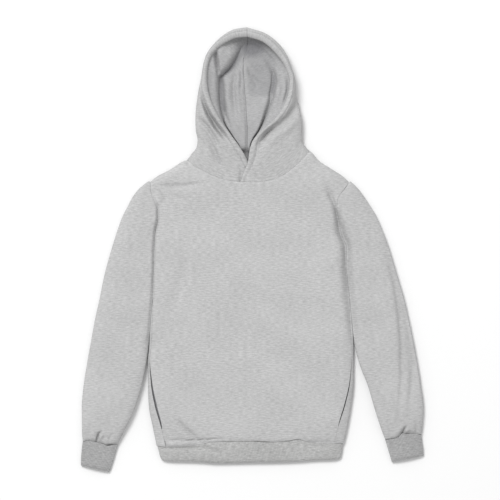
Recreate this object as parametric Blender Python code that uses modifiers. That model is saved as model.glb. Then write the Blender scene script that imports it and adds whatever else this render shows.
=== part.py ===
"""Pullover hoodie lying flat on its back, one object for each cut and sewn piece.

Every piece is an open sheet laid out from short tables of sections, in millimetres,
and given its wall by a Solidify modifier. +X is the wearer's left, +Y points to the
hood, +Z is up, and the garment's underside lies on z = 0.
"""
import math
from collections import namedtuple

import bmesh
import bpy

GARMENT = "hoodie"
MM = 0.001

# Walls and seams
CLOTH = 2.0
RIB = 2.4
POCKETING = 1.2
SEAM = 0.3
LAYER_GAP = 1.2
SHORT_END = 4.0 * SEAM
HOOD_END = 3.0 * SEAM
MERGE = 0.01

# Heights above the surface
SIDE_Z = 9.0
CROWN_Z = 22.5
HEM_SEAM_Z = 17.5
ARMHOLE_Z = 11.0
SLEEVE_Z = 22.0
SLEEVE_END_Z = 15.0
CUFF_Z = 13.0
CUFF_SIDE_Z = 6.5
BAND_SIDE_Z = 7.0
LINING_Z = 4.7
NECK_RISE = 4.0
NECK_RISE_Y = 170.0
NECK_RISE_REACH = 70.0
OVERLAP_RISE = 2.2
OVERLAP_RISE_X = -6.0
OVERLAP_RISE_Y = 160.0
OVERLAP_RISE_WIDTH = 34.0
OVERLAP_RISE_LENGTH = 40.0

# How far in from an edge the cloth takes to reach its full height
SIDE_REACH = 55.0
SHOULDER_REACH = 28.0
SLEEVE_REACH = 42.0
HEM_REACH = 45.0
FOOT_REACH = 8.0
ARMHOLE_BLEND = 20.0
SLEEVE_WIDE = 70.0
HOOD_FOOT = 12.0
BAND_REACH = 40.0

# Places along the body
HEM_Y = -441.0
TIP_Y = 155.0
UNDERARM_Y = -112.0
ARMHOLE_FLOOR_Y = -80.0
POCKET_TOP = -247.0
POCKET_FOOT = -400.0
POCKET_GAPE = 3.0
POCKET_LIFT = 2.5
POCKET_LIFT_REACH = 25.0
POCKET_BEND = 16.0
POCKET_TIP = 6.0
POCKET_CLOSING = 10.0
POCKET_FLAT = (3.5, 2.5)
UNDERARM_EASE = 1.4
UNDERARM_EASE_Y = -127.0
UNDERARM_EASE_REACH = 30.0
BAND_TOP = -441.6
BAND_FOOT = -487.0
BAND_CORNER = 20.0
BAND_CORNER_RISE = 9.0

# Middle of the tables' outline, which becomes the origin
CENTRE_X = 0.45
CENTRE_Y = -0.716

Side = namedtuple("Side", "y right_seam right_edge left_seam left_edge")
Point = namedtuple("Point", "x y")
Sleeve = namedtuple("Sleeve", "inner_x inner_y outer_x outer_y")
Hood = namedtuple(
    "Hood",
    "side_x side_y crest_x crest_y rim_x rim_y foot_x foot_y back_x back_y "
    "side_z crest_z rim_z opening",
)

# Side seams below the underarm and armholes above it, with the garment's edge beside them
BODY = [
    Side(-441, -198, -219, 189, 211),
    Side(-400, -208, -227.5, 199, 220),
    Side(-350, -223, -237, 215, 228.5),
    Side(-300, -232, -239, 225.5, 233.5),
    Side(-247, -235, -239, 229, 233.5),
    Side(-220, -232, -235.4, 228.5, 232),
    Side(-165, -228.5, -231.2, 224.7, 227.5),
    Side(-130, -228, -229.2, 224, 225.2),
    Side(-112, -228, -228, 224, 224),
    Side(-80, -227.3, -227.3, 221, 221),
    Side(-45, -226, -226, 218, 218),
    Side(4, -224.5, -224.5, 217, 217),
    Side(40, -222, -222, 204.5, 204.5),
    Side(74, -216, -216, 198.5, 198.5),
    Side(94, -216, -216, 195, 195),
    Side(114, -224.5, -224.5, 195.5, 195.5),
    Side(129, -231, -231, 204, 204),
    Side(145, -233, -233, 216, 216),
    Side(152, -233.3, -233.3, 221, 221),
    Side(154.4, -233.4, -233.4, 222.3, 222.3),
    Side(155, -233.5, -233.5, 222.5, 222.5),
]

RIGHT_SHOULDER = [Point(-233.5, 155), Point(-221, 166), Point(-190, 182.5), Point(-148, 205)]
LEFT_SHOULDER = [Point(132, 225.5), Point(154, 203.6), Point(186, 183), Point(210, 167), Point(222.5, 155)]
FRONT_NECK = [
    Point(-135, 193.5),
    Point(-112, 181),
    Point(-86, 168.5),
    Point(-62, 160.5),
    Point(-44, 157.5),
    Point(-26, 155.5),
    Point(14, 155),
    Point(44, 159.5),
    Point(72, 171.5),
    Point(98, 191),
    Point(119, 210.5),
]
BACK_NECK = [
    Point(-139, 201.6),
    Point(-125, 197.5),
    Point(-66, 187.5),
    Point(-9, 185),
    Point(48, 191.5),
    Point(106, 211.5),
    Point(121, 219.5),
]
FRONT_TOP = RIGHT_SHOULDER + FRONT_NECK + LEFT_SHOULDER
BACK_TOP = RIGHT_SHOULDER + BACK_NECK + LEFT_SHOULDER
FRONT_COLUMNS = [0.0, 0.012, 0.04]

# Sleeve sections from the shoulder to the cuff: the armhole rows first, then the closed ones
RIGHT_SLEEVE = [
    Sleeve(-233.5, 155, -237.5, 157.5),
    Sleeve(-233, 145, -250, 148),
    Sleeve(-231, 129, -262, 137),
    Sleeve(-224.5, 114, -274, 121),
    Sleeve(-216, 94, -285, 100),
    Sleeve(-216, 74, -297, 77),
    Sleeve(-222, 40, -310.5, 40),
    Sleeve(-224.5, 4, -323, 0),
    Sleeve(-226, -45, -337, -50),
    Sleeve(-227.3, -80, -344.5, -84),
    Sleeve(-228.6, -112, -350.5, -115),
    Sleeve(-232.8, -157, -361, -162),
    Sleeve(-237.4, -220, -371.5, -220),
    Sleeve(-243.6, -262, -379, -262),
    Sleeve(-253, -312, -386.4, -309),
    Sleeve(-269, -365, -391, -362),
    Sleeve(-297, -424, -390.5, -418),
    Sleeve(-308, -446, -389, -439.5),
]
LEFT_SLEEVE = [
    Sleeve(222.5, 155, 226.5, 156.5),
    Sleeve(216, 145, 237, 147),
    Sleeve(204, 129, 250, 132),
    Sleeve(195.5, 114, 262, 115),
    Sleeve(195, 94, 274, 96),
    Sleeve(198.5, 74, 286, 76),
    Sleeve(204.5, 40, 301.3, 40),
    Sleeve(217, 4, 315.5, 2),
    Sleeve(218, -45, 331, -50),
    Sleeve(221, -80, 341, -83),
    Sleeve(224.6, -112, 349.6, -113),
    Sleeve(229.2, -157, 360, -159),
    Sleeve(236, -220, 372.6, -220),
    Sleeve(246.5, -262, 380, -260),
    Sleeve(265.7, -312, 387.6, -309),
    Sleeve(282, -367, 394, -364),
    Sleeve(296, -410, 391.5, -402),
    Sleeve(305.7, -435.6, 388.7, -423.7),
]
OPEN_SLEEVE_ROWS = 10
SLEEVE_END_ROWS = 3

RIGHT_CUFF = [
    Sleeve(-308, -446.4, -389, -439.9),
    Sleeve(-313, -463.5, -391.5, -461),
    Sleeve(-320, -487.6, -393, -482),
    Sleeve(-328, -511.3, -393.3, -496.3),
]
LEFT_CUFF = [
    Sleeve(305.8, -436.0, 388.8, -424.1),
    Sleeve(310.5, -452, 390.8, -440.5),
    Sleeve(315.8, -469, 393.3, -459),
    Sleeve(321.5, -488.8, 394.2, -473.8),
]

# Hem band sections, by the share of its depth below the body
Band = namedtuple("Band", "depth right_x left_x crown_z")
BAND = [
    Band(0.0, -217, 209, 15.5),
    Band(0.3, -215.2, 207.8, 15.5),
    Band(0.7, -212.8, 206, 14.5),
    Band(1.0, -210, 204, 13),
]

# Hood sections from the neck seam to the crown seam, one half each
RIGHT_HOOD = [
    Hood(-148, 205, -44, 157.5, 12, 155, 5, 160, -9, 185, 9, 27, 21.6, 0.0),
    Hood(-140, 218, -37, 181, 2, 176, -6, 183, -9, 201, 10, 27.5, 21.8, 0.0),
    Hood(-127, 236, -48, 206, -9, 202, -13, 208, -9, 220, 12, 29, 22.6, 0.0),
    Hood(-125, 252, -57, 238, -28, 235, -29, 241, -10, 238, 13, 34, 31, 0.0),
    Hood(-129, 273, -69, 268, -49, 264, -46, 267, -10, 256, 14, 37, 34, 0.3),
    Hood(-130, 296, -84, 294, -69, 292, -60, 290, -10, 275, 14, 39, 36, 0.65),
    Hood(-129, 321, -97, 320, -84, 319, -70, 317, -12, 296, 14, 41, 37, 1.0),
    Hood(-126, 345, -107, 345, -95, 344, -74, 343, -13, 316, 14, 41, 37, 1.0),
    Hood(-122, 370, -112, 369, -101, 368, -75, 367, -14, 337, 14, 41, 37, 1.0),
    Hood(-117, 394, -110, 394, -103, 393, -74, 392, -16, 355, 14, 41, 37, 1.0),
    Hood(-113, 420, -108, 419, -101, 417, -66, 402, -17, 371, 14, 41, 37, 1.0),
    Hood(-106, 445, -101, 442, -95, 438, -50, 417, -18, 385, 14, 41, 37, 1.0),
    Hood(-90, 469, -86, 465, -80, 459, -37, 438, -19, 399, 14, 41, 37, 1.0),
    Hood(-67, 491, -63, 484, -58, 475, -28, 455, -20, 411, 14, 41, 37, 1.0),
    Hood(-39, 506, -36, 496, -33, 485, -21, 468, -20, 422, 14, 40, 36, 1.0),
    Hood(-12, 510, -11, 499, -10, 487, -10, 472, -20, 434, 14, 38, 34, 1.0),
]
LEFT_HOOD = [
    Hood(132, 225.5, 14, 155, -26, 155.5, -21, 160, -9, 185, 9, 28, 28.4, 0.0),
    Hood(123, 236, 23, 178, -17, 181, -12, 184, -9, 201, 10, 29.0, 29.6, 0.0),
    Hood(115, 250, 23, 206, -9, 202, -5, 207, -9, 220, 12, 30.5, 30.5, 0.0),
    Hood(115, 268, 16, 231, -5, 229, -1, 232, -10, 238, 13, 34, 32.5, 0.0),
    Hood(115, 286, 28, 256, 1, 248, 2, 255, -10, 256, 14, 37, 34.5, 0.3),
    Hood(113, 305, 46, 275, 16, 267, 15, 274, -10, 275, 14, 39, 36, 0.65),
    Hood(109, 323, 62, 288, 37, 285, 26, 294, -12, 296, 14, 41, 37, 1.0),
    Hood(104, 342, 77, 312, 59, 308, 36, 319, -13, 316, 14, 41, 37, 1.0),
    Hood(101, 359, 87, 338, 75, 335, 44, 342, -14, 337, 14, 41, 37, 1.0),
    Hood(100, 377, 93, 365, 83, 361, 48, 363, -16, 355, 14, 41, 37, 1.0),
    Hood(98, 396, 93, 390, 86, 386, 53, 384, -17, 371, 14, 41, 37, 1.0),
    Hood(91, 418, 86, 413, 80, 409, 51, 402, -18, 385, 14, 41, 37, 1.0),
    Hood(82, 442, 76, 436, 69, 430, 42, 422, -19, 399, 14, 41, 37, 1.0),
    Hood(64, 470, 58, 462, 51, 453, 30, 442, -20, 411, 14, 41, 37, 1.0),
    Hood(29, 497, 26, 487, 22, 477, 9, 461, -20, 422, 14, 40, 36, 1.0),
    Hood(-12, 510, -11, 499, -10, 487, -10, 472, -20, 434, 14, 38, 34, 1.0),
]
# Sag of the first sections' sides, and the neck seam where the left half laps over the right
NECK_SAG_RIGHT = [0.0, 6.0, 3.0]
NECK_SAG_LEFT = [0.0, 13.0, 6.0]
RIGHT_NECK_RIM = [Point(-26.0, 155.5), Point(-7.0, 155.2), Point(12.0, 155.0)]
LEFT_NECK_RIM = [Point(1.0, 155.2), Point(-13.0, 155.3), Point(-26.0, 155.5)]
RIGHT_NECK_END = -44.0
LEFT_NECK_END = 14.0
BACK_SEAM_X = -9.0
OVERLAP_DROP = 6.8
OUTER_SIDE_STEPS = 5
OUTER_RIM_STEPS = 3
WALL_STEPS = 6
FLOOR_STEPS = 2
LOW_TURN = 0.3
LINING_SIDE_RISE = 4.0
LINING_SIDE_GAP = 1.0
LINING_FOOT_GAP = 11.0
LINING_PULL_REACH = 60.0

# Pocket bags: where they lie along the side seam and how far in they reach
Pocket = namedtuple("Pocket", "y depth")
POCKET = [
    Pocket(-243, 22),
    Pocket(-260, 96),
    Pocket(-300, 140),
    Pocket(-350, 146),
    Pocket(-390, 120),
    Pocket(-412, 74),
    Pocket(-426, 22),
]

Look = namedtuple("Look", "color roughness")
LOOKS = {
    "body": Look((0.55, 0.55, 0.555), 0.92),
    "sleeve": Look((0.53, 0.53, 0.535), 0.92),
    "rib": Look((0.45, 0.45, 0.455), 0.93),
    "hood": Look((0.51, 0.51, 0.515), 0.92),
    "lining": Look((0.40, 0.405, 0.42), 0.93),
    "pocket": Look((0.38, 0.385, 0.40), 0.94),
}


def lerp(a, b, t):
    return a + (b - a) * t


def clamp(t):
    return min(max(t, 0.0), 1.0)


def smooth(t):
    t = clamp(t)
    return t * t * (3.0 - 2.0 * t)


def rise(t):
    """Quarter round: 0 at an edge, 1 from t = 1 on, upright at the edge."""
    return math.sqrt(max(0.0, 1.0 - (1.0 - clamp(t)) ** 2))


def bump(t):
    return math.exp(-t * t)


def read(table, key, value, wanted):
    """Read a column of a table in straight lines between its rows."""
    rows = sorted(table, key=lambda row: getattr(row, key))
    if value <= getattr(rows[0], key):
        return getattr(rows[0], wanted)
    for low, high in zip(rows, rows[1:]):
        if value <= getattr(high, key):
            t = (value - getattr(low, key)) / (getattr(high, key) - getattr(low, key))
            return lerp(getattr(low, wanted), getattr(high, wanted), t)
    return getattr(rows[-1], wanted)


def distance_to_line(x, y, line):
    best = math.inf
    for a, b in zip(line, line[1:]):
        dx = b.x - a.x
        dy = b.y - a.y
        t = clamp(((x - a.x) * dx + (y - a.y) * dy) / (dx * dx + dy * dy))
        best = min(best, math.hypot(x - a.x - t * dx, y - a.y - t * dy))
    return best


def shoulder_distance(x, y):
    """Distance in from the garment's edge along the shoulders and the foot of the hood."""
    right = RIGHT_SHOULDER + [Point(row.side_x, row.side_y) for row in RIGHT_HOOD[1:3]]
    left = [Point(row.side_x, row.side_y) for row in reversed(LEFT_HOOD[1:3])] + LEFT_SHOULDER
    return min(distance_to_line(x, y, right), distance_to_line(x, y, left))


def top_height(x, y):
    """Height of the upper layer of the body at a place in plan."""
    neck = NECK_RISE * bump((y - NECK_RISE_Y) / NECK_RISE_REACH)
    across = bump((x - OVERLAP_RISE_X) / OVERLAP_RISE_WIDTH)
    overlap = OVERLAP_RISE * across * bump((y - OVERLAP_RISE_Y) / OVERLAP_RISE_LENGTH)
    crown = lerp(HEM_SEAM_Z, CROWN_Z, rise((y - HEM_Y) / HEM_REACH)) + neck + overlap
    right = x - read(BODY, "y", y, "right_edge")
    left = read(BODY, "y", y, "left_edge") - x
    armhole = smooth((y - UNDERARM_Y) / ARMHOLE_BLEND)
    at_seam = armhole * (ARMHOLE_Z - SIDE_Z) / (CROWN_Z - SIDE_Z)
    side = at_seam + (1.0 - at_seam) * rise(min(right, left) / SIDE_REACH)
    shoulder = rise(shoulder_distance(x, y) / SHOULDER_REACH)
    return SIDE_Z + (crown - SIDE_Z) * side * shoulder


def floor_height(x, y):
    """Height of the underside: flat, and turned up at the shoulders."""
    return SIDE_Z * (1.0 - rise(shoulder_distance(x, y) / FOOT_REACH))


def gape(y):
    t = (y - POCKET_FOOT) / (POCKET_TOP - POCKET_FOOT)
    return math.sin(math.pi * clamp(t))


def row_y(row, line, top_x):
    """Height along a column: the hem at the lowest row, the top line at the highest."""
    share = (row.y - HEM_Y) / (TIP_Y - HEM_Y)
    return lerp(HEM_Y, read(line, "x", top_x, "y"), share)


def pull_back(rows, gap, edges):
    """Draw the named edges of a sheet back along the cloth, to leave a seam."""
    last = len(rows) - 1
    moves = {"start": (0, 1), "end": (last, last - 1)}
    for name in edges:
        if name in moves:
            edge, inner = moves[name]
            pairs = [((edge, j), (inner, j)) for j in range(len(rows[0]))]
        else:
            edge, inner = (0, 1) if name == "first" else (-1, -2)
            pairs = [((i, edge), (i, inner)) for i in range(len(rows))]
        for (i, j), (k, m) in pairs:
            here = rows[i][j]
            there = rows[k][m]
            size = math.dist(here, there)
            t = min(gap / size, 0.5) if size else 0.0
            rows[i][j] = tuple(lerp(a, b, t) for a, b in zip(here, there))
    return rows


def cloth_material(name, look):
    material = bpy.data.materials.new(name)
    material.use_nodes = True
    shader = material.node_tree.nodes["Principled BSDF"]
    shader.inputs["Base Color"].default_value = (*look.color, 1.0)
    shader.inputs["Roughness"].default_value = look.roughness
    shader.inputs["Metallic"].default_value = 0.0
    material.diffuse_color = (*look.color, 1.0)
    return material


def sheet(name, rows, wall, look, flip=False):
    """Lay a grid over rows of points, join the edges that coincide, and give it a wall."""
    columns = len(rows[0])
    shape = bmesh.new()
    bmesh.ops.create_grid(shape, x_segments=columns - 1, y_segments=len(rows) - 1, size=1.0)
    for vert in shape.verts:
        i = round((vert.co.y + 1.0) / 2.0 * (len(rows) - 1))
        j = round((vert.co.x + 1.0) / 2.0 * (columns - 1))
        x, y, z = rows[i][j]
        vert.co = ((x - CENTRE_X) * MM, (y - CENTRE_Y) * MM, z * MM)
    bmesh.ops.remove_doubles(shape, verts=shape.verts, dist=MERGE * MM)
    if flip:
        bmesh.ops.reverse_faces(shape, faces=shape.faces)
    bmesh.ops.triangulate(shape, faces=shape.faces, quad_method="SHORT_EDGE")
    mesh = bpy.data.meshes.new(name)
    shape.to_mesh(mesh)
    shape.free()
    piece = bpy.data.objects.new(name, mesh)
    bpy.context.scene.collection.children[GARMENT].objects.link(piece)
    mesh.materials.append(cloth_material(name, LOOKS[look]))
    thick = piece.modifiers.new("wall", "SOLIDIFY")
    thick.thickness = wall * MM
    thick.offset = -1.0
    thick.use_rim = True
    return piece


# Body

def front_body():
    low = BODY[-1].right_seam
    high = BODY[-1].left_seam
    shares = FRONT_COLUMNS + [(point.x - low) / (high - low) for point in FRONT_TOP[2:-2]]
    shares += [1.0 - share for share in reversed(FRONT_COLUMNS)]
    rows = []
    for row in BODY:
        underarm = UNDERARM_EASE * bump((row.y - UNDERARM_EASE_Y) / UNDERARM_EASE_REACH)
        ease = POCKET_GAPE * gape(row.y) + underarm
        left = row.right_seam + ease
        right = row.left_seam - ease
        points = []
        for share in shares:
            x = lerp(left, right, share)
            y = row_y(row, FRONT_TOP, lerp(low, high, share))
            near = min(x - left, right - x)
            lift = POCKET_LIFT * gape(row.y) * bump(near / POCKET_LIFT_REACH)
            points.append((x, y, top_height(x, y) + lift))
        rows.append(points)
    pull_back(rows, SEAM, ["start", "first", "last"])
    return sheet("front_body", pull_back(rows, SHORT_END, ["end"]), CLOTH, "body")


def back_side(row, side):
    """The back's edge at one side: up to the side seam below the underarm, flat above it."""
    seam = getattr(row, side + "_seam")
    edge = getattr(row, side + "_edge")
    inward = 1.0 if side == "right" else -1.0
    width = abs(seam - edge)
    wrapped = smooth((ARMHOLE_FLOOR_Y - row.y) / (ARMHOLE_FLOOR_Y - UNDERARM_Y))
    points = []
    for share, flat in ((1.0, 0.0), (0.45, 1.5), (0.12, 3.0), (0.0, 4.5)):
        x = edge + inward * width * share
        z = top_height(x, row.y) if width else SIDE_Z
        points.append((lerp(seam + inward * flat, x, wrapped), z * wrapped))
    for reach, flat in ((0.3, 6.0), (1.0, 8.0)):
        x = edge + inward * FOOT_REACH * reach
        z = SIDE_Z * (1.0 - rise(reach))
        points.append((lerp(seam + inward * flat, x, wrapped), z * wrapped))
    return points


def back_body():
    low = BODY[-1].right_seam
    high = BODY[-1].left_seam
    shares = [(point.x - low) / (high - low) for point in BACK_TOP[1:-1]]
    rows = []
    for row in BODY:
        right = back_side(row, "right")
        left = back_side(row, "left")
        points = right + [(lerp(right[-1][0], left[-1][0], share), 0.0) for share in shares]
        points += reversed(left)
        placed = []
        for x, z in points:
            share = clamp((x - row.right_seam) / (row.left_seam - row.right_seam))
            y = row_y(row, BACK_TOP, lerp(low, high, share))
            placed.append((x, y, max(z, floor_height(x, y))))
        rows.append(placed)
    pull_back(rows, SEAM, ["start", "first", "last"])
    return sheet("back_body", pull_back(rows, SHORT_END, ["end"]), CLOTH, "body", flip=True)


# Sleeves, cuffs and hem band

TOP_SHARES = [0.0, 0.01, 0.05, 0.17, 0.5, 0.83, 0.95, 0.99, 1.0]
FLOOR_SHARES = [0.982, 0.9, 0.1, 0.018, 0.0]
BAND_TOP_SHARES = [0.0, 0.003, 0.012, 0.04, 0.1, 0.2, 0.35, 0.5, 0.65, 0.8, 0.9, 0.96, 0.988, 0.997, 1.0]
BAND_FLOOR_SHARES = [0.994, 0.975, 0.8, 0.6, 0.4, 0.2, 0.025, 0.006, 0.0]


def tube_row(inner, outer, side_z, crown_z, reach, shares, floor_shares, seam_z=None, seam_floor=None):
    """One section of a tube that lies flat, from its inner edge over the top and back below."""
    width = math.dist(inner, outer)
    foot = min(FOOT_REACH, 0.1 * width)
    seam_z = side_z if seam_z is None else seam_z
    seam_floor = side_z if seam_floor is None else seam_floor
    points = []
    for share in shares:
        base = lerp(seam_z, side_z, share)
        z = base + (crown_z - base) * rise(min(share, 1.0 - share) * width / min(reach, 0.5 * width))
        points.append((lerp(inner[0], outer[0], share), lerp(inner[1], outer[1], share), z))
    for share in floor_shares:
        base = seam_floor if share < 0.5 else side_z
        z = base * (1.0 - rise(min(share, 1.0 - share) * width / foot))
        points.append((lerp(inner[0], outer[0], share), lerp(inner[1], outer[1], share), z))
    return points


def sleeve(name, table, flip):
    rows = []
    for i, row in enumerate(table):
        inner = (row.inner_x, row.inner_y)
        outer = (row.outer_x, row.outer_y)
        width = math.dist(inner, outer)
        crown = lerp(SIDE_Z, SLEEVE_Z, rise(width / SLEEVE_WIDE))
        crown = lerp(crown, SLEEVE_END_Z, smooth((i - len(table) + 1 + SLEEVE_END_ROWS) / SLEEVE_END_ROWS))
        if i < OPEN_SLEEVE_ROWS:
            closing = smooth((ARMHOLE_FLOOR_Y - row.inner_y) / (ARMHOLE_FLOOR_Y - UNDERARM_Y))
            floor = SIDE_Z * closing
            rows.append(tube_row(inner, outer, SIDE_Z, max(crown, ARMHOLE_Z), SLEEVE_REACH,
                                 TOP_SHARES, FLOOR_SHARES, ARMHOLE_Z, floor))
        else:
            rows.append(tube_row(inner, outer, SIDE_Z, crown, SLEEVE_REACH, TOP_SHARES, FLOOR_SHARES))
    open_rows = pull_back(rows[:OPEN_SLEEVE_ROWS], 2.0 * SEAM, ["first", "last"])
    return sheet(name, open_rows + rows[OPEN_SLEEVE_ROWS:], CLOTH, "sleeve", flip)


def cuff(name, table, flip):
    rows = []
    for row in table:
        rows.append(tube_row((row.inner_x, row.inner_y), (row.outer_x, row.outer_y), CUFF_SIDE_Z,
                             CUFF_Z, SLEEVE_REACH, TOP_SHARES, FLOOR_SHARES))
    return sheet(name, rows, RIB, "rib", flip)


def hem_band():
    rows = []
    for stop in BAND:
        ring = tube_row((stop.right_x, 0.0), (stop.left_x, 0.0), BAND_SIDE_Z, stop.crown_z, BAND_REACH,
                        BAND_TOP_SHARES, BAND_FLOOR_SHARES)
        row = []
        for x, _, z in ring:
            inset = min(x - stop.right_x, stop.left_x - x)
            corner = BAND_CORNER_RISE * (1.0 - rise(inset / BAND_CORNER))
            row.append((x, lerp(BAND_TOP, BAND_FOOT + corner, stop.depth), z))
        rows.append(row)
    return sheet("hem_band", rows, RIB, "rib", flip=True)


# Hood

def hood_floor(row):
    """Floor of a hood section, from the back seam to the turned-up side."""
    dx = row.side_x - row.back_x
    dy = row.side_y - row.back_y
    foot = 1.0 - HOOD_FOOT / math.hypot(dx, dy)
    shares = [foot * k / FLOOR_STEPS for k in range(FLOOR_STEPS + 1)]
    low = 1.0 - LOW_TURN * (1.0 - foot)
    points = [(row.back_x + dx * t, row.back_y + dy * t, 0.0) for t in shares]
    points.append((row.back_x + dx * low, row.back_y + dy * low, row.side_z * (1.0 - rise(LOW_TURN))))
    return points


def hood_top(row, sag):
    """Upper part of a hood section, from the side over the crest to the rim."""
    points = []
    for k in range(OUTER_SIDE_STEPS):
        s = k / OUTER_SIDE_STEPS
        across = 1.0 - math.cos(0.5 * math.pi * s)
        up = math.sin(0.5 * math.pi * s) ** 0.7 if s else 0.0
        dip = sag * math.sin(math.pi * across)
        x = lerp(row.side_x, row.crest_x, across)
        y = lerp(row.side_y, row.crest_y, across) - dip
        points.append((x, y, lerp(row.side_z, row.crest_z, up)))
    for k in range(OUTER_RIM_STEPS + 1):
        s = k / OUTER_RIM_STEPS
        drop = s ** 2 if row.opening else s ** 0.6
        x = lerp(row.crest_x, row.rim_x, s)
        y = lerp(row.crest_y, row.rim_y, s)
        points.append((x, y, lerp(row.crest_z, row.rim_z, drop)))
    return points


def hood_neck(side):
    """The hood's neck seam, on the same points as the body's front and back necks."""
    if side == "right":
        floor = [point for point in reversed(BACK_NECK) if point.x <= BACK_SEAM_X]
        top = [RIGHT_SHOULDER[-1]] + [point for point in FRONT_NECK if point.x <= RIGHT_NECK_END]
        rim = RIGHT_NECK_RIM
    else:
        floor = [point for point in BACK_NECK if point.x >= BACK_SEAM_X]
        top = [LEFT_SHOULDER[0]] + [point for point in reversed(FRONT_NECK) if point.x >= LEFT_NECK_END]
        rim = LEFT_NECK_RIM
    points = [(point.x, point.y, floor_height(point.x, point.y)) for point in floor]
    points += [(point.x, point.y, top_height(point.x, point.y)) for point in top]
    for point in rim:
        z = top_height(point.x, point.y)
        points.append((point.x, point.y, z - OVERLAP_DROP if side == "right" else z))
    return points


def outer_rows(table, side):
    sags = NECK_SAG_RIGHT if side == "right" else NECK_SAG_LEFT
    rows = [hood_neck(side)]
    for i, row in enumerate(table[1:], start=1):
        sag = sags[i] if i < len(sags) else 0.0
        rows.append(hood_floor(row) + hood_top(row, sag))
    return rows


def hood_outer(side, table, flip):
    rows = outer_rows(table, side)
    pull_back(rows, SEAM, ["first"])
    return sheet("hood_outer_" + side, pull_back(rows, HOOD_END, ["start", "end"]), CLOTH, "hood", flip)


def lining_follow(row, outer):
    """Lining under the outer cloth: from the rim back to the side, then along the floor."""
    drop = CLOTH * 2.0 + LAYER_GAP
    inward = 1.0 if row.side_x < row.back_x else -1.0
    side = len(outer) - OUTER_SIDE_STEPS - OUTER_RIM_STEPS - 1
    points = []
    for j in (-1, -3, -4, -6, -7):
        x, y, z = outer[j]
        pull = drop * (1.0 - clamp(abs(x - outer[side][0]) / LINING_PULL_REACH))
        points.append((x + inward * pull, y, max(z - drop, LINING_Z)))
    x, y, z = outer[side]
    points.append((x + inward * (drop + LINING_SIDE_GAP), y, max(z, LINING_Z + LINING_SIDE_RISE)))
    x0 = x + inward * (drop + LINING_FOOT_GAP)
    points.append((x0, y, LINING_Z))
    for k in range(1, FLOOR_STEPS + 1):
        t = k / FLOOR_STEPS
        points.append((lerp(x0, row.back_x, t), lerp(y, row.back_y, t), LINING_Z))
    return points


def lining_wall(row):
    """Lining where the hood is open: down the inner wall to its foot, then along the floor."""
    top = row.rim_z - 2.0 * CLOTH - LAYER_GAP
    points = []
    for k in range(WALL_STEPS + 1):
        s = k / WALL_STEPS
        z = lerp(LINING_Z, top, (1.0 - s) ** 1.4)
        points.append((lerp(row.rim_x, row.foot_x, s), lerp(row.rim_y, row.foot_y, s), z))
    for k in range(1, FLOOR_STEPS + 1):
        t = k / FLOOR_STEPS
        points.append((lerp(row.foot_x, row.back_x, t), lerp(row.foot_y, row.back_y, t), LINING_Z))
    return points


def hood_lining(side, table, flip):
    rows = []
    for row, outer in zip(table, outer_rows(table, side)):
        follow = lining_follow(row, outer)
        wall = lining_wall(row)
        mixed = []
        for a, b in zip(follow, wall):
            mixed.append(tuple(lerp(p, q, row.opening) for p, q in zip(a, b)))
        rows.append(mixed)
    pull_back(rows, SEAM, ["last"])
    return sheet("hood_lining_" + side, pull_back(rows, HOOD_END, ["start", "end"]), CLOTH, "lining", flip)


# Pockets

def pocket_bag(side, flip):
    """Flat bag behind the mouth in the side seam, between the front and the back."""
    inward = 1.0 if side == "right" else -1.0
    rows = []
    for stop in POCKET:
        seam = read(BODY, "y", stop.y, side + "_seam")
        edge = read(BODY, "y", stop.y, side + "_edge")
        near = seam + inward * (POCKET_GAPE + CLOTH)
        middle = 0.5 * HEM_SEAM_Z
        at_bend, at_tip = POCKET_FLAT
        below_mouth = smooth((POCKET_FOOT - stop.y) / POCKET_CLOSING)
        under = lerp(top_height(near, stop.y) - CLOTH - LAYER_GAP, middle + at_bend, below_mouth)
        tip = seam + inward * stop.depth
        bend = seam + inward * min(POCKET_BEND, 0.5 * stop.depth)
        far = tip - inward * POCKET_TIP
        rows.append([
            (near, stop.y, under),
            (bend, stop.y, middle + at_bend),
            (far, stop.y, middle + at_tip),
            (tip, stop.y, middle),
            (far, stop.y, middle - at_tip),
            (bend, stop.y, middle - at_bend),
            (edge + inward * (2.0 * CLOTH + SEAM), stop.y, middle - SEAM),
        ])
    return sheet("pocket_bag_" + side, rows, POCKETING, "pocket", flip)


def clear_scene():
    for item in list(bpy.data.objects):
        bpy.data.objects.remove(item, do_unlink=True)


def main():
    clear_scene()
    group = bpy.data.collections.new(GARMENT)
    bpy.context.scene.collection.children.link(group)
    front_body()
    back_body()
    sleeve("sleeve_right", RIGHT_SLEEVE, flip=False)
    sleeve("sleeve_left", LEFT_SLEEVE, flip=True)
    cuff("cuff_right", RIGHT_CUFF, flip=False)
    cuff("cuff_left", LEFT_CUFF, flip=True)
    hem_band()
    hood_outer("right", RIGHT_HOOD, flip=False)
    hood_outer("left", LEFT_HOOD, flip=True)
    hood_lining("right", RIGHT_HOOD, flip=False)
    hood_lining("left", LEFT_HOOD, flip=True)
    pocket_bag("right", flip=True)
    pocket_bag("left", flip=False)


main()
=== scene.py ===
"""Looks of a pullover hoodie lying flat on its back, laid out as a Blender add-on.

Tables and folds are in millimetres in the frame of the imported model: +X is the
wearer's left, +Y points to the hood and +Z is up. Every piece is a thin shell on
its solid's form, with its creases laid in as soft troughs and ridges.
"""
import math
from collections import namedtuple

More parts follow.
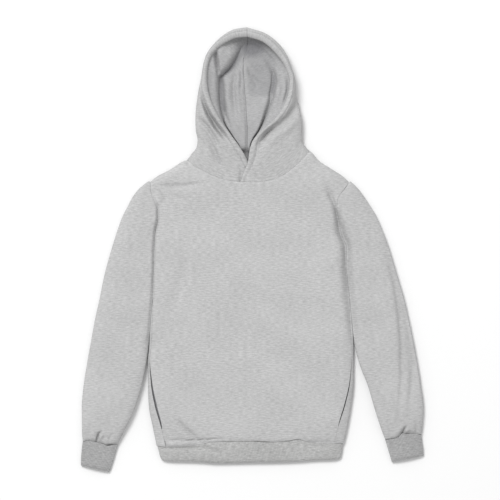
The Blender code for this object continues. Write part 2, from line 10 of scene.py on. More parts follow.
import bpy
import numpy as np
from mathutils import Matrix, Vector


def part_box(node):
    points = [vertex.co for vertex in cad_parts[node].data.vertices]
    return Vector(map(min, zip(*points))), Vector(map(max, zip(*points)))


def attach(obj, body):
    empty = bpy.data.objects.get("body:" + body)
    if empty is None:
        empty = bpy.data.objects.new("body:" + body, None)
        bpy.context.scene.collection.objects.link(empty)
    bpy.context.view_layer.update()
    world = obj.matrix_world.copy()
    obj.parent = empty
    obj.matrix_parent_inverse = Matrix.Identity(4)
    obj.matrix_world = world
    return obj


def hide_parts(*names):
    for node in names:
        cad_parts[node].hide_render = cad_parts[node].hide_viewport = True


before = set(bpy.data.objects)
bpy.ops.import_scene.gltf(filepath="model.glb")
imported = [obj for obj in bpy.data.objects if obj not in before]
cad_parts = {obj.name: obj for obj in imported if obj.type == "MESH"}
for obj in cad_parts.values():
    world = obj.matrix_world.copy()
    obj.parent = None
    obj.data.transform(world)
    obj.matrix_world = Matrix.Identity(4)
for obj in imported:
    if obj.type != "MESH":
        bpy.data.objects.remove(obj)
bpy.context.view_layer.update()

bl_info = {
    "name": "Flat Hoodie",
    "version": (1, 0, 0),
    "blender": (4, 5, 0),
    "location": "3D View > Sidebar > Hoodie",
    "description": "Builds the cloth, seams and stage of a pullover hoodie lying flat",
    "category": "Object",
}

MM = 0.001
TURN = 2.0 * math.pi

# The way in from either side, along X
INWARD = {"right": 1.0, "left": -1.0}

# Middle of the outline in the tables below, which is the frame's origin
CENTRE = np.array([0.45, -0.716, 0.0])

# Places along the body
HEM_Y = -441.0
TIP_Y = 155.0
UNDERARM_Y = -112.0
ARMHOLE_FLOOR_Y = -80.0
PARTING_Y = -225.0
PARTING_BLEND = 42.0
POCKET_TOP = -247.0
POCKET_FOOT = -402.0
POCKET_Z = 8.75
POCKET_GAPE_RIGHT = 5.2
POCKET_GAPE_LEFT = 2.4
BAND_TOP = -441.4
BAND_FOOT = -487.0

# Heights of folded edges and seams above the surface
SIDE_Z = 9.0
HEM_SEAM_Z = 17.0
SLEEVE_END_Z = 15.0
CUFF_SIDE_Z = 6.5
BAND_SIDE_Z = 7.0
LINING_Z = 4.7
SLEEVE_INNER_Z = 15.0
LEAST_Z = 4.6

# How far in from an edge the cloth takes to reach its full height
SIDE_REACH = 55.0
SHOULDER_REACH = 18.0
SLEEVE_REACH = 42.0
INNER_REACH = 22.0
WANDER_FADE = 34.0
HEM_REACH = 45.0
FOOT_REACH = 8.0
HOOD_FOOT = 12.0
BAND_REACH = 40.0
NECK_REACH = 55.0

# How far in from an edge its unevenness and its creases take to reach theirs
EDGE_CALM = 20.0
FOLD_EDGE = 4.0
SLEEVE_EDGE = 9.0

# A sleeve sinks over its last stretch, and where it is narrower than its full width
SLEEVE_END = 55.0
FULL_WIDTH = 70.0

# The body's rise under the hood, and under the lap of its two sides
NECK_RISE = 4.0
NECK_RISE_Y = 170.0
NECK_RISE_REACH = 70.0
LAP_RISE = 2.2
LAP_PLACE = (-6.0, 160.0)
LAP_REACH = (34.0, 40.0)

# Where the hood's right side lies under the left one, and how far it drops there
OVERLAP_DROP = 4.6
OVERLAP_X = -35.0
OVERLAP_FADE = 8.0
OVERLAP_TOP = 190.0
OVERLAP_TOP_FADE = 14.0

# The front beside a pocket's mouth, the gathers above the hem, and the calm of the armhole seams
POCKET_LIFT = 2.6
POCKET_LIFT_REACH = 22.0
GATHER = 0.35
GATHER_Y = 7.0
GATHER_REACH = 12.0
CALM = 0.65
CALM_Y = 92.0
CALM_FADE = 30.0

# Stops of the meshes: how long the fine stretches are, and how many points go round each piece
FINE_FOOT = 9.0
FINE_TIP = 14.0
FINE_SIDE = 0.03
FINE_STOPS = 8
CHEST_WIDTH = 440.0
BACK_STEP = 5.0
WRAP_FLAT = 8.0
SLEEVE_STOPS = (84, 30)
CUFF_STOPS = (170, 90, 0.4)
BAND_STOPS = (560, 420, 0.25)
BAND_ROWS = 17
HOOD_STEP = 1.1
LINING_STOPS = (131, 76, 56)
POCKET_STOPS = (60, 70)

Side = namedtuple("Side", "y right_seam right_edge left_seam left_edge")
Sleeve = namedtuple("Sleeve", "inner_x inner_y outer_x outer_y")
Band = namedtuple("Band", "depth right_x left_x crown_z")
Hood = namedtuple(
    "Hood",
    "side_x side_y crest_x crest_y rim_x rim_y foot_x foot_y back_x back_y "
    "side_z crest_z rim_z opening shelf",
)
Pocket = namedtuple("Pocket", "y depth")
Armhole = namedtuple("Armhole", "y right_z right_reach left_z left_reach")
Wander = namedtuple("Wander", "share right left")
Fold = namedtuple("Fold", "path depth left right")


def rows_of(kind, rows):
    return [kind(*row) for row in rows]



# Side seams below the underarm and armholes above it, with the garment's edge beside them
BODY = rows_of(Side, [
    (-441, -198, -219, 189, 211),
    (-400, -208, -227.5, 199, 220),
    (-350, -223, -237, 215, 228.5),
    (-300, -232, -239, 225.5, 233.5),
    (-247, -235, -239, 229, 233.5),
    (-220, -232, -236.4, 228.5, 233.2),
    (-165, -228.5, -232.9, 224.7, 229.2),
    (-130, -228, -230.0, 224, 226.0),
    (-112, -228, -228, 224, 224),
    (-80, -227.3, -227.3, 221, 221),
    (-45, -226, -226, 218, 218),
    (4, -224.5, -224.5, 217, 217),
    (40, -222, -222, 204.5, 204.5),
    (74, -216, -216, 198.5, 198.5),
    (94, -216, -216, 195, 195),
    (114, -224.5, -224.5, 195.5, 195.5),
    (129, -231, -231, 204, 204),
    (145, -233, -233, 216, 216),
    (155, -233.5, -233.5, 222.5, 222.5),
])

RIGHT_SHOULDER = [(-233.5, 155), (-221, 166), (-190, 182.5), (-148, 205)]
LEFT_SHOULDER = [(132, 225.5), (154, 203.6), (186, 183), (210, 167), (222.5, 155)]
FRONT_NECK = [
    (-135, 193.5), (-112, 181), (-86, 168.5), (-62, 160.5), (-44, 157.5), (-26, 155.5),
    (14, 155), (44, 159.5), (72, 171.5), (98, 191), (119, 210.5),
]
BACK_NECK = [
    (-139, 201.6), (-125, 197.5), (-66, 187.5), (-9, 185), (48, 191.5), (106, 211.5), (121, 219.5),
]

# Sleeve sections from the shoulder to the cuff, and cuff sections below them
RIGHT_SLEEVE = rows_of(Sleeve, [
    (-233.5, 155, -237.5, 157.5),
    (-233, 145, -250, 148),
    (-231, 129, -262, 137),
    (-224.5, 114, -274, 121),
    (-216, 94, -285, 100),
    (-216, 74, -297, 77),
    (-222, 40, -310.5, 40),
    (-224.5, 4, -323, 0),
    (-226, -45, -337, -50),
    (-227.3, -80, -344.5, -84),
    (-228.6, -112, -350.5, -115),
    (-232.5, -157, -361, -162),
    (-237.4, -220, -371.5, -220),
    (-243.6, -262, -379, -262),
    (-253, -312, -386.4, -309),
    (-269, -365, -391, -362),
    (-297, -424, -390.5, -418),
    (-308, -446, -389, -439.5),
])
LEFT_SLEEVE = rows_of(Sleeve, [
    (222.5, 155, 226.5, 156.5),
    (216, 145, 237, 147),
    (204, 129, 250, 132),
    (195.5, 114, 262, 115),
    (195, 94, 274, 96),
    (198.5, 74, 286, 76),
    (204.5, 40, 301.3, 40),
    (217, 4, 315.5, 2),
    (218, -45, 331, -50),
    (221, -80, 341, -83),
    (224.6, -112, 349.6, -113),
    (228.9, -157, 360, -159),
    (236, -220, 372.6, -220),
    (246.5, -262, 380, -260),
    (265.7, -312, 387.6, -309),
    (282, -367, 394, -364),
    (296, -410, 391.5, -402),
    (305.7, -435.6, 388.7, -423.7),
])
RIGHT_CUFF = rows_of(Sleeve, [
    (-308, -446.4, -389, -439.9),
    (-313, -463.5, -391.5, -461),
    (-320, -487.6, -393, -482),
    (-328, -511.3, -393.3, -496.3),
])
LEFT_CUFF = rows_of(Sleeve, [
    (305.8, -436.0, 388.8, -424.1),
    (310.5, -452, 390.8, -440.5),
    (315.8, -469, 393.3, -459),
    (321.5, -488.8, 394.2, -473.8),
])
# How far a cuff's seam wanders towards the hand, by share of the width from its inner edge
CUFF_SEAM = rows_of(Wander, [
    (0.0, 0.0, 0.0),
    (0.12, 2.5, 0.5),
    (0.28, 6.0, 0.0),
    (0.4, 2.5, -4.0),
    (0.5, 1.0, -8.5),
    (0.62, -0.5, -7.5),
    (0.8, -3.2, -4.0),
    (0.92, -1.0, -1.5),
    (1.0, 0.0, 0.0),
])
# Heights of the armhole seams, and how far the cloth beside them takes to rise from them
ARMHOLE = rows_of(Armhole, [
    (-225, 9, 9, 9, 9),
    (-190, 16.5, 4.4, 11.5, 10),
    (-165, 17, 4.4, 10.5, 10),
    (-112, 17, 4.4, 8.5, 11),
    (-80, 17.5, 4.2, 6.5, 11),
    (-45, 17.5, 4.2, 5.5, 10.5),
    (4, 17.5, 4.2, 3.5, 10),
    (40, 17.0, 4.2, 4.0, 10),
    (62, 17.0, 4.2, 7.5, 9),
    (82, 17.2, 4.2, 14, 10),
    (97, 18.0, 4.2, 20.5, 14),
    (114, 20.0, 6, 22.5, 26),
    (129, 20.5, 14, 22, 28),
    (155, 20.0, 20, 20, 28),
])

# The body's lower edge, and the lower edge of the band
HEM_EDGE = [
    (-219, -451.5), (-196, -453), (-165, -452.5), (-140, -450.5), (-115, -446), (-92, -442.2),
    (-60, -440.6), (-20, -439.6), (20, -439.4), (49, -442), (79, -439.4), (106, -435), (130, -441.5),
    (174, -445.5), (211, -445),
]
BAND_EDGE = [
    (-219, -480), (-200, -486), (-133, -487), (-76, -490.6), (-5, -489), (64, -488), (115, -486),
    (145, -483.5), (211, -482.5),
]

HEM_BAND = rows_of(Band, [
    (0.0, -217, 209, 16.4),
    (0.3, -215.2, 207.8, 16.0),
    (0.7, -212.8, 206, 14.5),
    (1.0, -210, 204, 13),
])

# Hood sections from the neck seam to the crown seam, one half each
RIGHT_HOOD = rows_of(Hood, [
    (-148, 205, -33, 156.2, 12, 155, 5, 160, -9, 185, 9, 27, 21.6, 0.0, 0.0),
    (-140, 218, -29, 180.5, 2, 176, -6, 183, -9, 201, 10, 27.5, 21.8, 0.0, 0.0),
    (-127, 236, -48, 206, -9, 202, -13, 208, -9, 220, 12, 29, 22.6, 0.35, 0.0),
    (-125, 252, -57, 238, -28, 235, -33, 240, -10, 238, 13, 34, 31, 1.0, 0.0),
    (-129, 273, -69, 268, -49, 264, -51, 268, -10, 256, 14, 37, 34, 1.0, 0.0),
    (-130, 296, -84, 294, -69, 292, -64, 291, -10, 275, 14, 39, 36, 1.0, 0.0),
    (-129, 321, -97, 320, -84, 319, -70, 317, -12, 296, 14, 41, 37, 1.0, 0.0),
    (-126, 345, -107, 345, -95, 344, -74, 343, -13, 316, 14, 41, 37, 1.0, 0.0),
    (-122, 370, -112, 369, -101, 368, -75, 367, -14, 337, 14, 41, 37, 1.0, 0.1),
    (-117, 394, -110, 394, -103, 393, -74, 392, -16, 355, 14, 41, 37, 1.0, 0.4),
    (-113, 420, -108, 419, -101, 417, -66, 402, -17, 371, 14, 41, 37, 1.0, 0.9),
    (-106, 445, -101, 442, -95, 438, -50, 417, -18, 385, 14, 41, 37, 1.0, 1.0),
    (-90, 469, -86, 465, -80, 459, -37, 438, -19, 399, 14, 41, 37, 1.0, 1.0),
    (-67, 491, -63, 484, -58, 475, -28, 455, -20, 411, 14, 41, 37, 1.0, 0.6),
    (-39, 506, -36, 496, -33, 485, -21, 468, -20, 422, 14, 40, 36, 1.0, 0.2),
    (-12, 510, -11, 499, -10, 487, -10, 472, -20, 434, 14, 38, 34, 1.0, 0.0),
])
LEFT_HOOD = rows_of(Hood, [
    (132, 225.5, 14, 155, -26, 155.5, -21, 160, -9, 185, 9, 28, 28.4, 0.0, 0.0),
    (123, 236, 23, 178, -17, 181, -12, 184, -9, 201, 10, 29, 29.6, 0.0, 0.0),
    (115, 250, 23, 206, -9, 202, -6, 207, -9, 220, 12, 30.5, 30.5, 0.35, 0.0),
    (115, 268, 16, 231, -5, 229, -2, 236, -10, 238, 13, 34, 32.5, 1.0, 0.0),
    (115, 286, 28, 256, 1, 248, 5, 254, -10, 256, 14, 37, 34.5, 1.0, 0.0),
    (113, 305, 46, 275, 16, 267, 16, 272, -10, 275, 14, 39, 36, 1.0, 0.0),
    (109, 323, 62, 288, 37, 285, 26, 294, -12, 296, 14, 41, 37, 1.0, 0.0),
    (104, 342, 77, 312, 59, 308, 36, 319, -13, 316, 14, 41, 37, 1.0, 0.1),
    (101, 359, 87, 338, 75, 335, 44, 342, -14, 337, 14, 41, 37, 1.0, 0.2),
    (100, 377, 93, 365, 83, 361, 48, 363, -16, 355, 14, 41, 37, 1.0, 0.3),
    (98, 396, 93, 390, 86, 386, 53, 384, -17, 371, 14, 41, 37, 1.0, 0.3),
    (91, 418, 86, 413, 80, 409, 51, 402, -18, 385, 14, 41, 37, 1.0, 0.2),
    (82, 442, 76, 436, 69, 430, 42, 422, -19, 399, 14, 41, 37, 1.0, 0.1),
    (64, 470, 58, 462, 51, 453, 30, 442, -20, 411, 14, 41, 37, 1.0, 0.0),
    (29, 497, 26, 487, 22, 477, 9, 461, -20, 422, 14, 40, 36, 1.0, 0.0),
    (-12, 510, -11, 499, -10, 487, -10, 472, -20, 434, 14, 38, 34, 1.0, 0.0),
])

# Pocket bags: where they lie along the side seam and how far in they reach
POCKET = rows_of(Pocket, [
    (-243, 22),
    (-260, 96),
    (-300, 140),
    (-350, 146),
    (-390, 120),
    (-412, 74),
    (-426, 22),
])

# Creases, each a path with its depth (a trough is negative) and its reach to either side
FRONT_FOLDS = rows_of(Fold, [
    ([(-222, 148), (-177, 147), (-143, 149), (-108, 155)], -4.0, 2.6, 9),
    ([(-226, 146), (-214, 132), (-204, 118), (-200, 94)], -7.0, 4.0, 8),
    ([(-190, 140), (-176, 122), (-150, 114)], -2.6, 5, 8),
    ([(-176, -388), (-154, -410), (-120, -442)], -7.0, 5, 4.4),
    ([(-186, -404), (-166, -420), (-138, -441)], 2.6, 7, 7),
    ([(-214, -446), (-176, -447), (-136, -444)], 4.0, 7, 5),
    ([(-198, -437.5), (-150, -438), (-96, -436), (-56, -434)], -4.4, 1.8, 1.8),
    ([(60, -422), (92, -426), (116, -420)], -1.2, 6, 5),
    ([(6, -439), (36, -440.5), (62, -442)], 1.8, 8, 4),
    ([(170, 148), (178, 130), (187, 109), (196, 84), (202, 62), (206, 40)], -9.5, 4.6, 5.2),
    ([(120, 194), (138, 183), (150, 170)], -2.4, 2.5, 3.5),
    ([(124, 203), (146, 190), (160, 178)], -2.4, 2.5, 3),
    ([(136, 204), (152, 194), (166, 184)], -2.0, 2.5, 3),
    ([(-150, 206), (-146, 198), (-143, 186)], -4.4, 2.5, 3),
    ([(206, 128), (186, 118), (166, 122)], -0.7, 8, 10),
    ([(-152, -6), (-157, -60), (-170, -112), (-186, -156)], -3.2, 8, 18),
    ([(-196, -10), (-150, -110), (-120, -240)], 0.9, 40, 60),
    ([(150, -20), (166, -120), (170, -220)], -0.7, 30, 34),
    ([(-60, 60), (10, 20), (90, 40)], 0.7, 60, 80),
    ([(60, -300), (20, -340), (-60, -350)], -0.6, 50, 60),
])
BAND_FOLDS = rows_of(Fold, [
    ([(-216, -456), (-170, -457), (-126, -455), (-96, -456)], -3.4, 2.6, 4),
    ([(-112, -455), (-84, -462), (-58, -468)], -2.6, 5, 7),
    ([(-190, -474), (-140, -476), (-80, -478)], 1.4, 8, 8),
    ([(120, -446), (150, -452), (190, -452)], -2.0, 4, 5),
])
RIGHT_SLEEVE_FOLDS = rows_of(Fold, [
    ([(-262, 118), (-258, 60), (-262, -10)], 0.9, 16, 20),
    ([(-240, -60), (-262, -110), (-300, -140)], -1.0, 14, 20),
    ([(-362, -190), (-376, -280), (-378, -390)], -1.5, 14, 22),
    ([(-262, -250), (-296, -300), (-312, -380)], 1.0, 26, 34),
    ([(-359, -446), (-355, -433), (-352, -422), (-345, -418)], -8.0, 2.4, 2.8),
    ([(-349, -438), (-345, -428), (-340, -422)], 3.8, 4, 4),
    ([(-337, -452), (-330, -449), (-322, -449), (-310, -449)], -6.0, 2.6, 2.6),
    ([(-367, -438), (-364, -424), (-358, -412)], 1.6, 5, 5),
    ([(-326, -448), (-327, -436), (-321, -422)], -2.4, 3, 4),
    ([(-374, -440), (-376, -424), (-374, -404)], -1.4, 5, 6),
])
LEFT_SLEEVE_FOLDS = rows_of(Fold, [
    ([(300, -6), (320, -90), (330, -160), (334, -222), (334, -300), (328, -376)], 3.6, 8, 30),
    ([(308, -8), (329, -92), (338, -160), (342, -222), (342, -300), (334, -376)], -3.4, 7, 4),
    ([(330, -20), (352, -120), (364, -220), (370, -300), (366, -380)], -4.4, 13, 18),
    ([(366, -262), (367, -300), (360, -352)], -3.0, 7, 7),
    ([(358, -250), (357, -320), (348, -390)], 1.6, 7, 6),
    ([(340, -430), (345, -422), (349, -413), (355, -405)], -7.5, 2.4, 2.8),
    ([(352, -424), (356, -416), (362, -410)], 3.6, 4, 4),
    ([(332, -431), (336, -420), (342, -406)], 2.4, 5, 5),
    ([(376, -428), (378, -414), (376, -400)], -2.6, 4, 4),
    ([(312, -434), (316, -420), (318, -408)], -1.6, 4, 5),
    ([(262, 100), (276, 50), (290, -10)], -0.8, 18, 20),
    ([(222, 126), (240, 96), (250, 60)], -1.0, 8, 9),
    ([(262, -240), (292, -300), (306, -380)], -1.0, 12, 14),
])
RIGHT_HOOD_FOLDS = rows_of(Fold, [
    ([(-117, 356), (-108, 330), (-98, 308), (-82, 286), (-66, 266), (-56, 250)], -20.0, 4.4, 5.0),
    ([(-96, 296), (-84, 280), (-73, 267), (-62, 254)], -12.0, 4, 4),
    ([(-120, 318), (-108, 300), (-92, 278), (-80, 258)], 2.6, 5, 5),
    ([(-124, 302), (-112, 292), (-98, 278), (-86, 258), (-74, 232)], -9.5, 4, 6),
    ([(-119, 282), (-104, 264), (-92, 242), (-80, 214), (-66, 188)], -8.5, 4, 9),
    ([(-124, 262), (-112, 246), (-104, 228)], -3.2, 4, 6),
    ([(-66, 246), (-50, 220), (-36, 192)], -2.0, 5, 8),
    ([(-122, 322), (-117, 300), (-108, 284)], -2.0, 5, 5),
    ([(-121, 352), (-120, 330), (-113, 312)], -2.0, 5, 5),
    ([(-110, 240), (-96, 222), (-88, 204)], 1.6, 6, 6),
])
LEFT_HOOD_FOLDS = rows_of(Fold, [
    ([(108, 348), (98, 326), (84, 307), (66, 290), (48, 277), (32, 263), (20, 246), (13, 228)],
     -14.0, 12, 6.5),
    ([(52, 280), (38, 271), (28, 259), (20, 244)], -7.0, 4, 4),
    ([(104, 300), (86, 280), (62, 262), (44, 240)], 2.4, 12, 16),
    ([(108, 292), (92, 270), (72, 252)], -2.2, 8, 9),
    ([(100, 322), (84, 296), (60, 276)], -2.0, 6, 7),
    ([(72, 268), (56, 244), (40, 226)], -1.4, 7, 8),
    ([(20, 232), (6, 208), (-8, 184)], -1.4, 5, 6),
    ([(112, 262), (96, 240), (70, 222)], 1.0, 14, 18),
    ([(86, 410), (90, 390), (94, 366)], -1.6, 4, 5),
])
LINING_FOLDS = rows_of(Fold, [
    ([(-85, 460), (-82, 440), (-78, 416), (-76, 396)], -14.0, 4, 4.5),
    ([(-64, 470), (-72, 452), (-74, 432)], 2.0, 7, 7),
    ([(-70, 404), (-68, 372), (-67, 340), (-62, 308), (-52, 282)], -11.0, 5, 5),
    ([(-38, 410), (-43, 376), (-41, 340), (-36, 300)], -4.6, 4, 6),
    ([(-30, 416), (-33, 376), (-30, 330), (-24, 286)], 2.6, 5, 5),
    ([(-54, 388), (-56, 352), (-50, 316)], 2.4, 6, 7),
    ([(-26, 416), (-24, 392), (-26, 362)], -3.0, 3, 4),
    ([(-10, 424), (-2, 400), (8, 388), (12, 368)], -4.0, 5, 6),
    ([(-4, 436), (14, 418), (32, 404)], -3.4, 6, 7),
    ([(8, 400), (22, 388), (40, 384)], 2.0, 7, 7),
    ([(-2, 354), (18, 350), (42, 353)], -3.0, 3.5, 8),
    ([(-6, 334), (8, 322), (16, 306)], -1.0, 5, 7),
    ([(10, 334), (12, 300), (6, 268)], 1.0, 8, 8),
    ([(72, 404), (75, 366), (66, 328), (50, 300)], 3.0, 5, 6),
    ([(84, 402), (83, 366), (74, 336)], -4.0, 4, 4),
    ([(62, 398), (62, 362), (54, 326), (36, 298)], -3.4, 4, 5),
    ([(50, 406), (51, 384), (47, 362), (42, 338)], -13.0, 5, 5),
    ([(-94, 424), (-92, 386), (-86, 350)], -2.0, 5, 6),
])

# Painted shade on the lining, each a path with its darkness and its reach
LINING_SHADES = [
    ([(-22, 462), (-32, 440), (-42, 424), (-58, 410)], 0.7, 9.0),
    ([(-71, 398), (-70, 350), (-66, 322)], 0.75, 5.0),
    ([(50, 398), (50, 380), (46, 364)], 0.75, 5.5),
]

# The tables of either side
SLEEVES = {"right": (RIGHT_SLEEVE, RIGHT_SLEEVE_FOLDS), "left": (LEFT_SLEEVE, LEFT_SLEEVE_FOLDS)}
CUFFS = {"right": RIGHT_CUFF, "left": LEFT_CUFF}
HOODS = {"right": RIGHT_HOOD, "left": LEFT_HOOD}
HOOD_FOLDS = {"right": RIGHT_HOOD_FOLDS, "left": LEFT_HOOD_FOLDS}

# Seams and hems
SEAM_GAP = 0.15
SEAM_REACH = 4.0
SIDE_SEAM_REACH = 2.4
SIDE_SEAM_FADE = 30.0
HEM_DIP = 0.45
NECK_DIP = 1.1
HOOD_DIP = 0.8
HEM_DEPTH = 15.0
HEM_OVERLAP_DEPTH = 9.5
HEM_GROOVE = 1.6
STITCH_WIDTH = 0.0009
STITCH_HEIGHT = 0.0007
STITCH_BEVEL = 0.0003
STITCH_LIFT = 0.0006
STITCH_PITCH = 1.4


# ---------------------------------------------------------------- sizes and colours

def length_of(name, description, default):
    return bpy.props.FloatProperty(name=name, description=description, default=default, unit="LENGTH")


def number_of(name, description, default):
    return bpy.props.FloatProperty(name=name, description=description, default=default)


def colour_of(name, description, default):
    return bpy.props.FloatVectorProperty(name=name, description=description, default=default, subtype="COLOR")


class HoodieSizes(bpy.types.PropertyGroup):
    """Sizes of the cloth, in metres"""

    wall: length_of("Fleece", "Thickness of the fleece", 0.002)
    rib_wall: length_of("Rib", "Thickness of the rib knit", 0.0024)
    pocketing: length_of("Pocketing", "Thickness of the pocket cloth", 0.0012)
    crown: length_of("Body height", "Height of the body's upper layer", 0.0225)
    sleeve_crown: length_of("Sleeve height", "Height of a sleeve", 0.022)
    cuff_crown: length_of("Cuff height", "Height of a cuff", 0.013)
    seam_dip: length_of("Seam dip", "How far a seam sinks into the cloth", 0.0018)
    crease: number_of("Creases", "Depth of the creases against the tables", 1.0)
    ripple: length_of("Ripple", "Height of the cloth's soft unevenness", 0.0005)
    rib_pitch: length_of("Rib pitch", "Width of one rib and its furrow", 0.0034)
    rib_depth: length_of("Rib depth", "Depth of a rib's furrow", 0.0007)
    stitch: length_of("Stitch", "Length of a stitch in the hood's hem", 0.0034)
    mesh_step: length_of("Mesh step", "Distance between points of the cloth", 0.003)


class HoodieColours(bpy.types.PropertyGroup):
    """Colours of the yarns"""

    body: colour_of("Body", "Mean colour of the body", (0.44, 0.44, 0.44))
    sleeve: colour_of("Sleeves", "Mean colour of the sleeves", (0.432, 0.432, 0.432))
    rib: colour_of("Cuffs", "Mean colour of the cuffs", (0.362, 0.362, 0.363))
    band: colour_of("Hem band", "Mean colour of the hem band", (0.415, 0.415, 0.411))
    hood: colour_of("Hood", "Mean colour of the hood", (0.418, 0.418, 0.418))
    # The lining is the hood's own fleece, set darker than the outer hood: painted shade of the hood's inside
    lining: colour_of("Lining", "Mean colour of the hood's lining", (0.365, 0.365, 0.368))
    pocketing: colour_of("Pocketing", "Colour of the pocket bags", (0.33, 0.33, 0.34))
    thread: colour_of("Thread", "Colour of the stitches", (0.36, 0.36, 0.365))
    marl: number_of("Marl", "Contrast between light and dark yarns", 0.21)


class HoodieStage(bpy.types.PropertyGroup):
    """The floor, the light and the camera"""

    floor: colour_of("Floor", "Colour of the floor", (0.815, 0.815, 0.815))
    key: bpy.props.FloatProperty(
        name="Key light", description="Power of the main light", default=640.0, unit="POWER")
    sky: number_of("Sky", "Strength of the light from all round", 0.73)
    lens: number_of("Lens", "Focal length in millimetres", 260.0)
    width: length_of("View width", "Width of the floor in view", 1.15)


# ---------------------------------------------------------------- form of the cloth

def lerp(a, b, t):
    return a + (b - a) * t


def ease(t):
    t = np.clip(t, 0.0, 1.0)
    return t * t * (3.0 - 2.0 * t)


def rise(t):
    """Quarter round: 0 at an edge, 1 from t = 1 on, upright at the edge."""
    return np.sqrt(1.0 - (1.0 - np.clip(t, 0.0, 1.0)) ** 2)


def hump(t):
    return np.exp(-t * t)


def even(count):
    """Stops from 0 to 1, as one row."""
    return np.linspace(0.0, 1.0, count)[None, :]


def running(steps):
    """Running sum that starts at 0."""
    return np.concatenate([[0.0], np.cumsum(steps)])


def smooth_read(keys, values, wanted):
    """A smooth curve through a few values that doesn't overshoot them."""
    keys = np.asarray(keys, float)
    values = np.asarray(values, float)
    wanted = np.asarray(wanted, float)
    step = np.diff(keys)
    tail = (1,) * (values.ndim - 1)
    slope = np.diff(values, axis=0) / step.reshape(-1, *tail)
    lean = np.zeros_like(values)
    before, after = slope[:-1], slope[1:]
    first = (2.0 * step[1:] + step[:-1]).reshape(-1, *tail)
    second = (step[1:] + 2.0 * step[:-1]).reshape(-1, *tail)
    same = before * after > 0.0
    safe_before = np.where(same, before, 1.0)
    safe_after = np.where(same, after, 1.0)
    lean[1:-1] = np.where(same, (first + second) / (first / safe_before + second / safe_after), 0.0)
    lean[0] = slope[0]
    lean[-1] = slope[-1]
    k = np.clip(np.searchsorted(keys, wanted) - 1, 0, len(step) - 1)
    more = (1,) * (values.ndim - 1)
    h = step[k].reshape(*wanted.shape, *more)
    t = np.clip((wanted - keys[k]) / step[k], 0.0, 1.0).reshape(*wanted.shape, *more)
    t2, t3 = t * t, t * t * t
    return ((2 * t3 - 3 * t2 + 1) * values[k] + (t3 - 2 * t2 + t) * h * lean[k]
            + (3 * t2 - 2 * t3) * values[k + 1] + (t3 - t2) * h * lean[k + 1])


def column(table, name):
    return np.array([getattr(row, name) for row in table], float)


def body_line(name, y):
    return smooth_read(column(BODY, "y"), column(BODY, name), y)


def line_height(line, x):
    points = np.array(line, float)
    return smooth_read(points[:, 0], points[:, 1], x)


FRONT_TOP = RIGHT_SHOULDER + FRONT_NECK + LEFT_SHOULDER
BACK_TOP = RIGHT_SHOULDER + BACK_NECK + LEFT_SHOULDER


def path_distance(x, y, path):
    """Distance to a path, how far along it that is, and on which side."""
    points = np.array(path, float)
    lengths = np.hypot(*np.diff(points, axis=0).T)
    starts = running(lengths)
    best = np.full(np.shape(x), np.inf)
    along = np.zeros(np.shape(x))
    side = np.ones(np.shape(x))
    for k, length in enumerate(lengths):
        dx, dy = (points[k + 1] - points[k]) / length
        px, py = x - points[k, 0], y - points[k, 1]
        t = np.clip(px * dx + py * dy, 0.0, length)
        gap = np.hypot(px - t * dx, py - t * dy)
        nearer = gap < best
        best = np.where(nearer, gap, best)
        along = np.where(nearer, (starts[k] + t) / starts[-1], along)
        side = np.where(nearer, np.where(dx * py - dy * px > 0.0, 1.0, -1.0), side)
    return best, along, side


def folded(x, y, folds, amount):
    """Height that a list of creases adds at places in plan."""
    total = np.zeros(np.shape(x))
    for fold in folds:
        gap, along, side = path_distance(x, y, fold.path)
        reach = np.where(side > 0.0, fold.left, fold.right)
        fade = np.sin(np.pi * np.clip(along, 0.02, 0.98)) ** 0.6
        total += fold.depth * fade * hump(gap / reach)
    return total * amount


def unevenness(x, y):
    """Soft waves with no repeat, between about -1 and 1."""
    a = np.sin(x / 31.0 + 1.7 * np.sin(y / 47.0 + 0.4))
    b = np.sin(y / 23.0 + 1.3 * np.sin(x / 39.0 + 2.1))
    c = np.sin((x + 0.6 * y) / 57.0 + 1.1 * np.sin((y - x) / 83.0))
    return 0.35 * a + 0.25 * b + 0.5 * c


def shoulder_distance(x, y):
    """Distance in from the garment's edge along the shoulders and the foot of the hood."""
    right = top_curve(RIGHT_SHOULDER) + [(row.side_x, row.side_y) for row in RIGHT_HOOD[1:3]]
    left = [(row.side_x, row.side_y) for row in reversed(LEFT_HOOD[1:3])] + top_curve(LEFT_SHOULDER)
    return np.minimum(path_distance(x, y, right)[0], path_distance(x, y, left)[0])


def top_curve(shoulder):
    """A shoulder's edge as the smooth curve that the front and the back share."""
    x = np.linspace(shoulder[0][0], shoulder[-1][0], 28)
    return list(zip(x, line_height(FRONT_TOP, x)))


def pocket_gape(y):
    """How far a pocket's mouth stands open: most below its middle."""
    t = np.clip((y - POCKET_FOOT) / (POCKET_TOP - POCKET_FOOT), 0.0, 1.0)
    return np.sin(np.pi * t ** 0.6)


def shoulder_calm(y):
    """How much of its dip an armhole seam keeps: little above the chest."""
    return 1.0 - CALM * ease((y - CALM_Y) / CALM_FADE)


def hollow(t):
    """Soft side of a valley: 0 and level at its floor, 1 far from it."""
    return 1.0 - hump(t)


def beside_sleeve(side, y):
    """Height where the body and a sleeve meet, and how far the cloth takes to rise from it."""
    keys = column(ARMHOLE, "y")
    return (smooth_read(keys, column(ARMHOLE, side + "_z"), y),
            smooth_read(keys, column(ARMHOLE, side + "_reach"), y))


def side_height(side, y):
    """Height of a folded side edge: raised where it lies against the sleeve."""
    return lerp(SIDE_Z, beside_sleeve(side, y)[0], ease((y - PARTING_Y) / PARTING_BLEND))


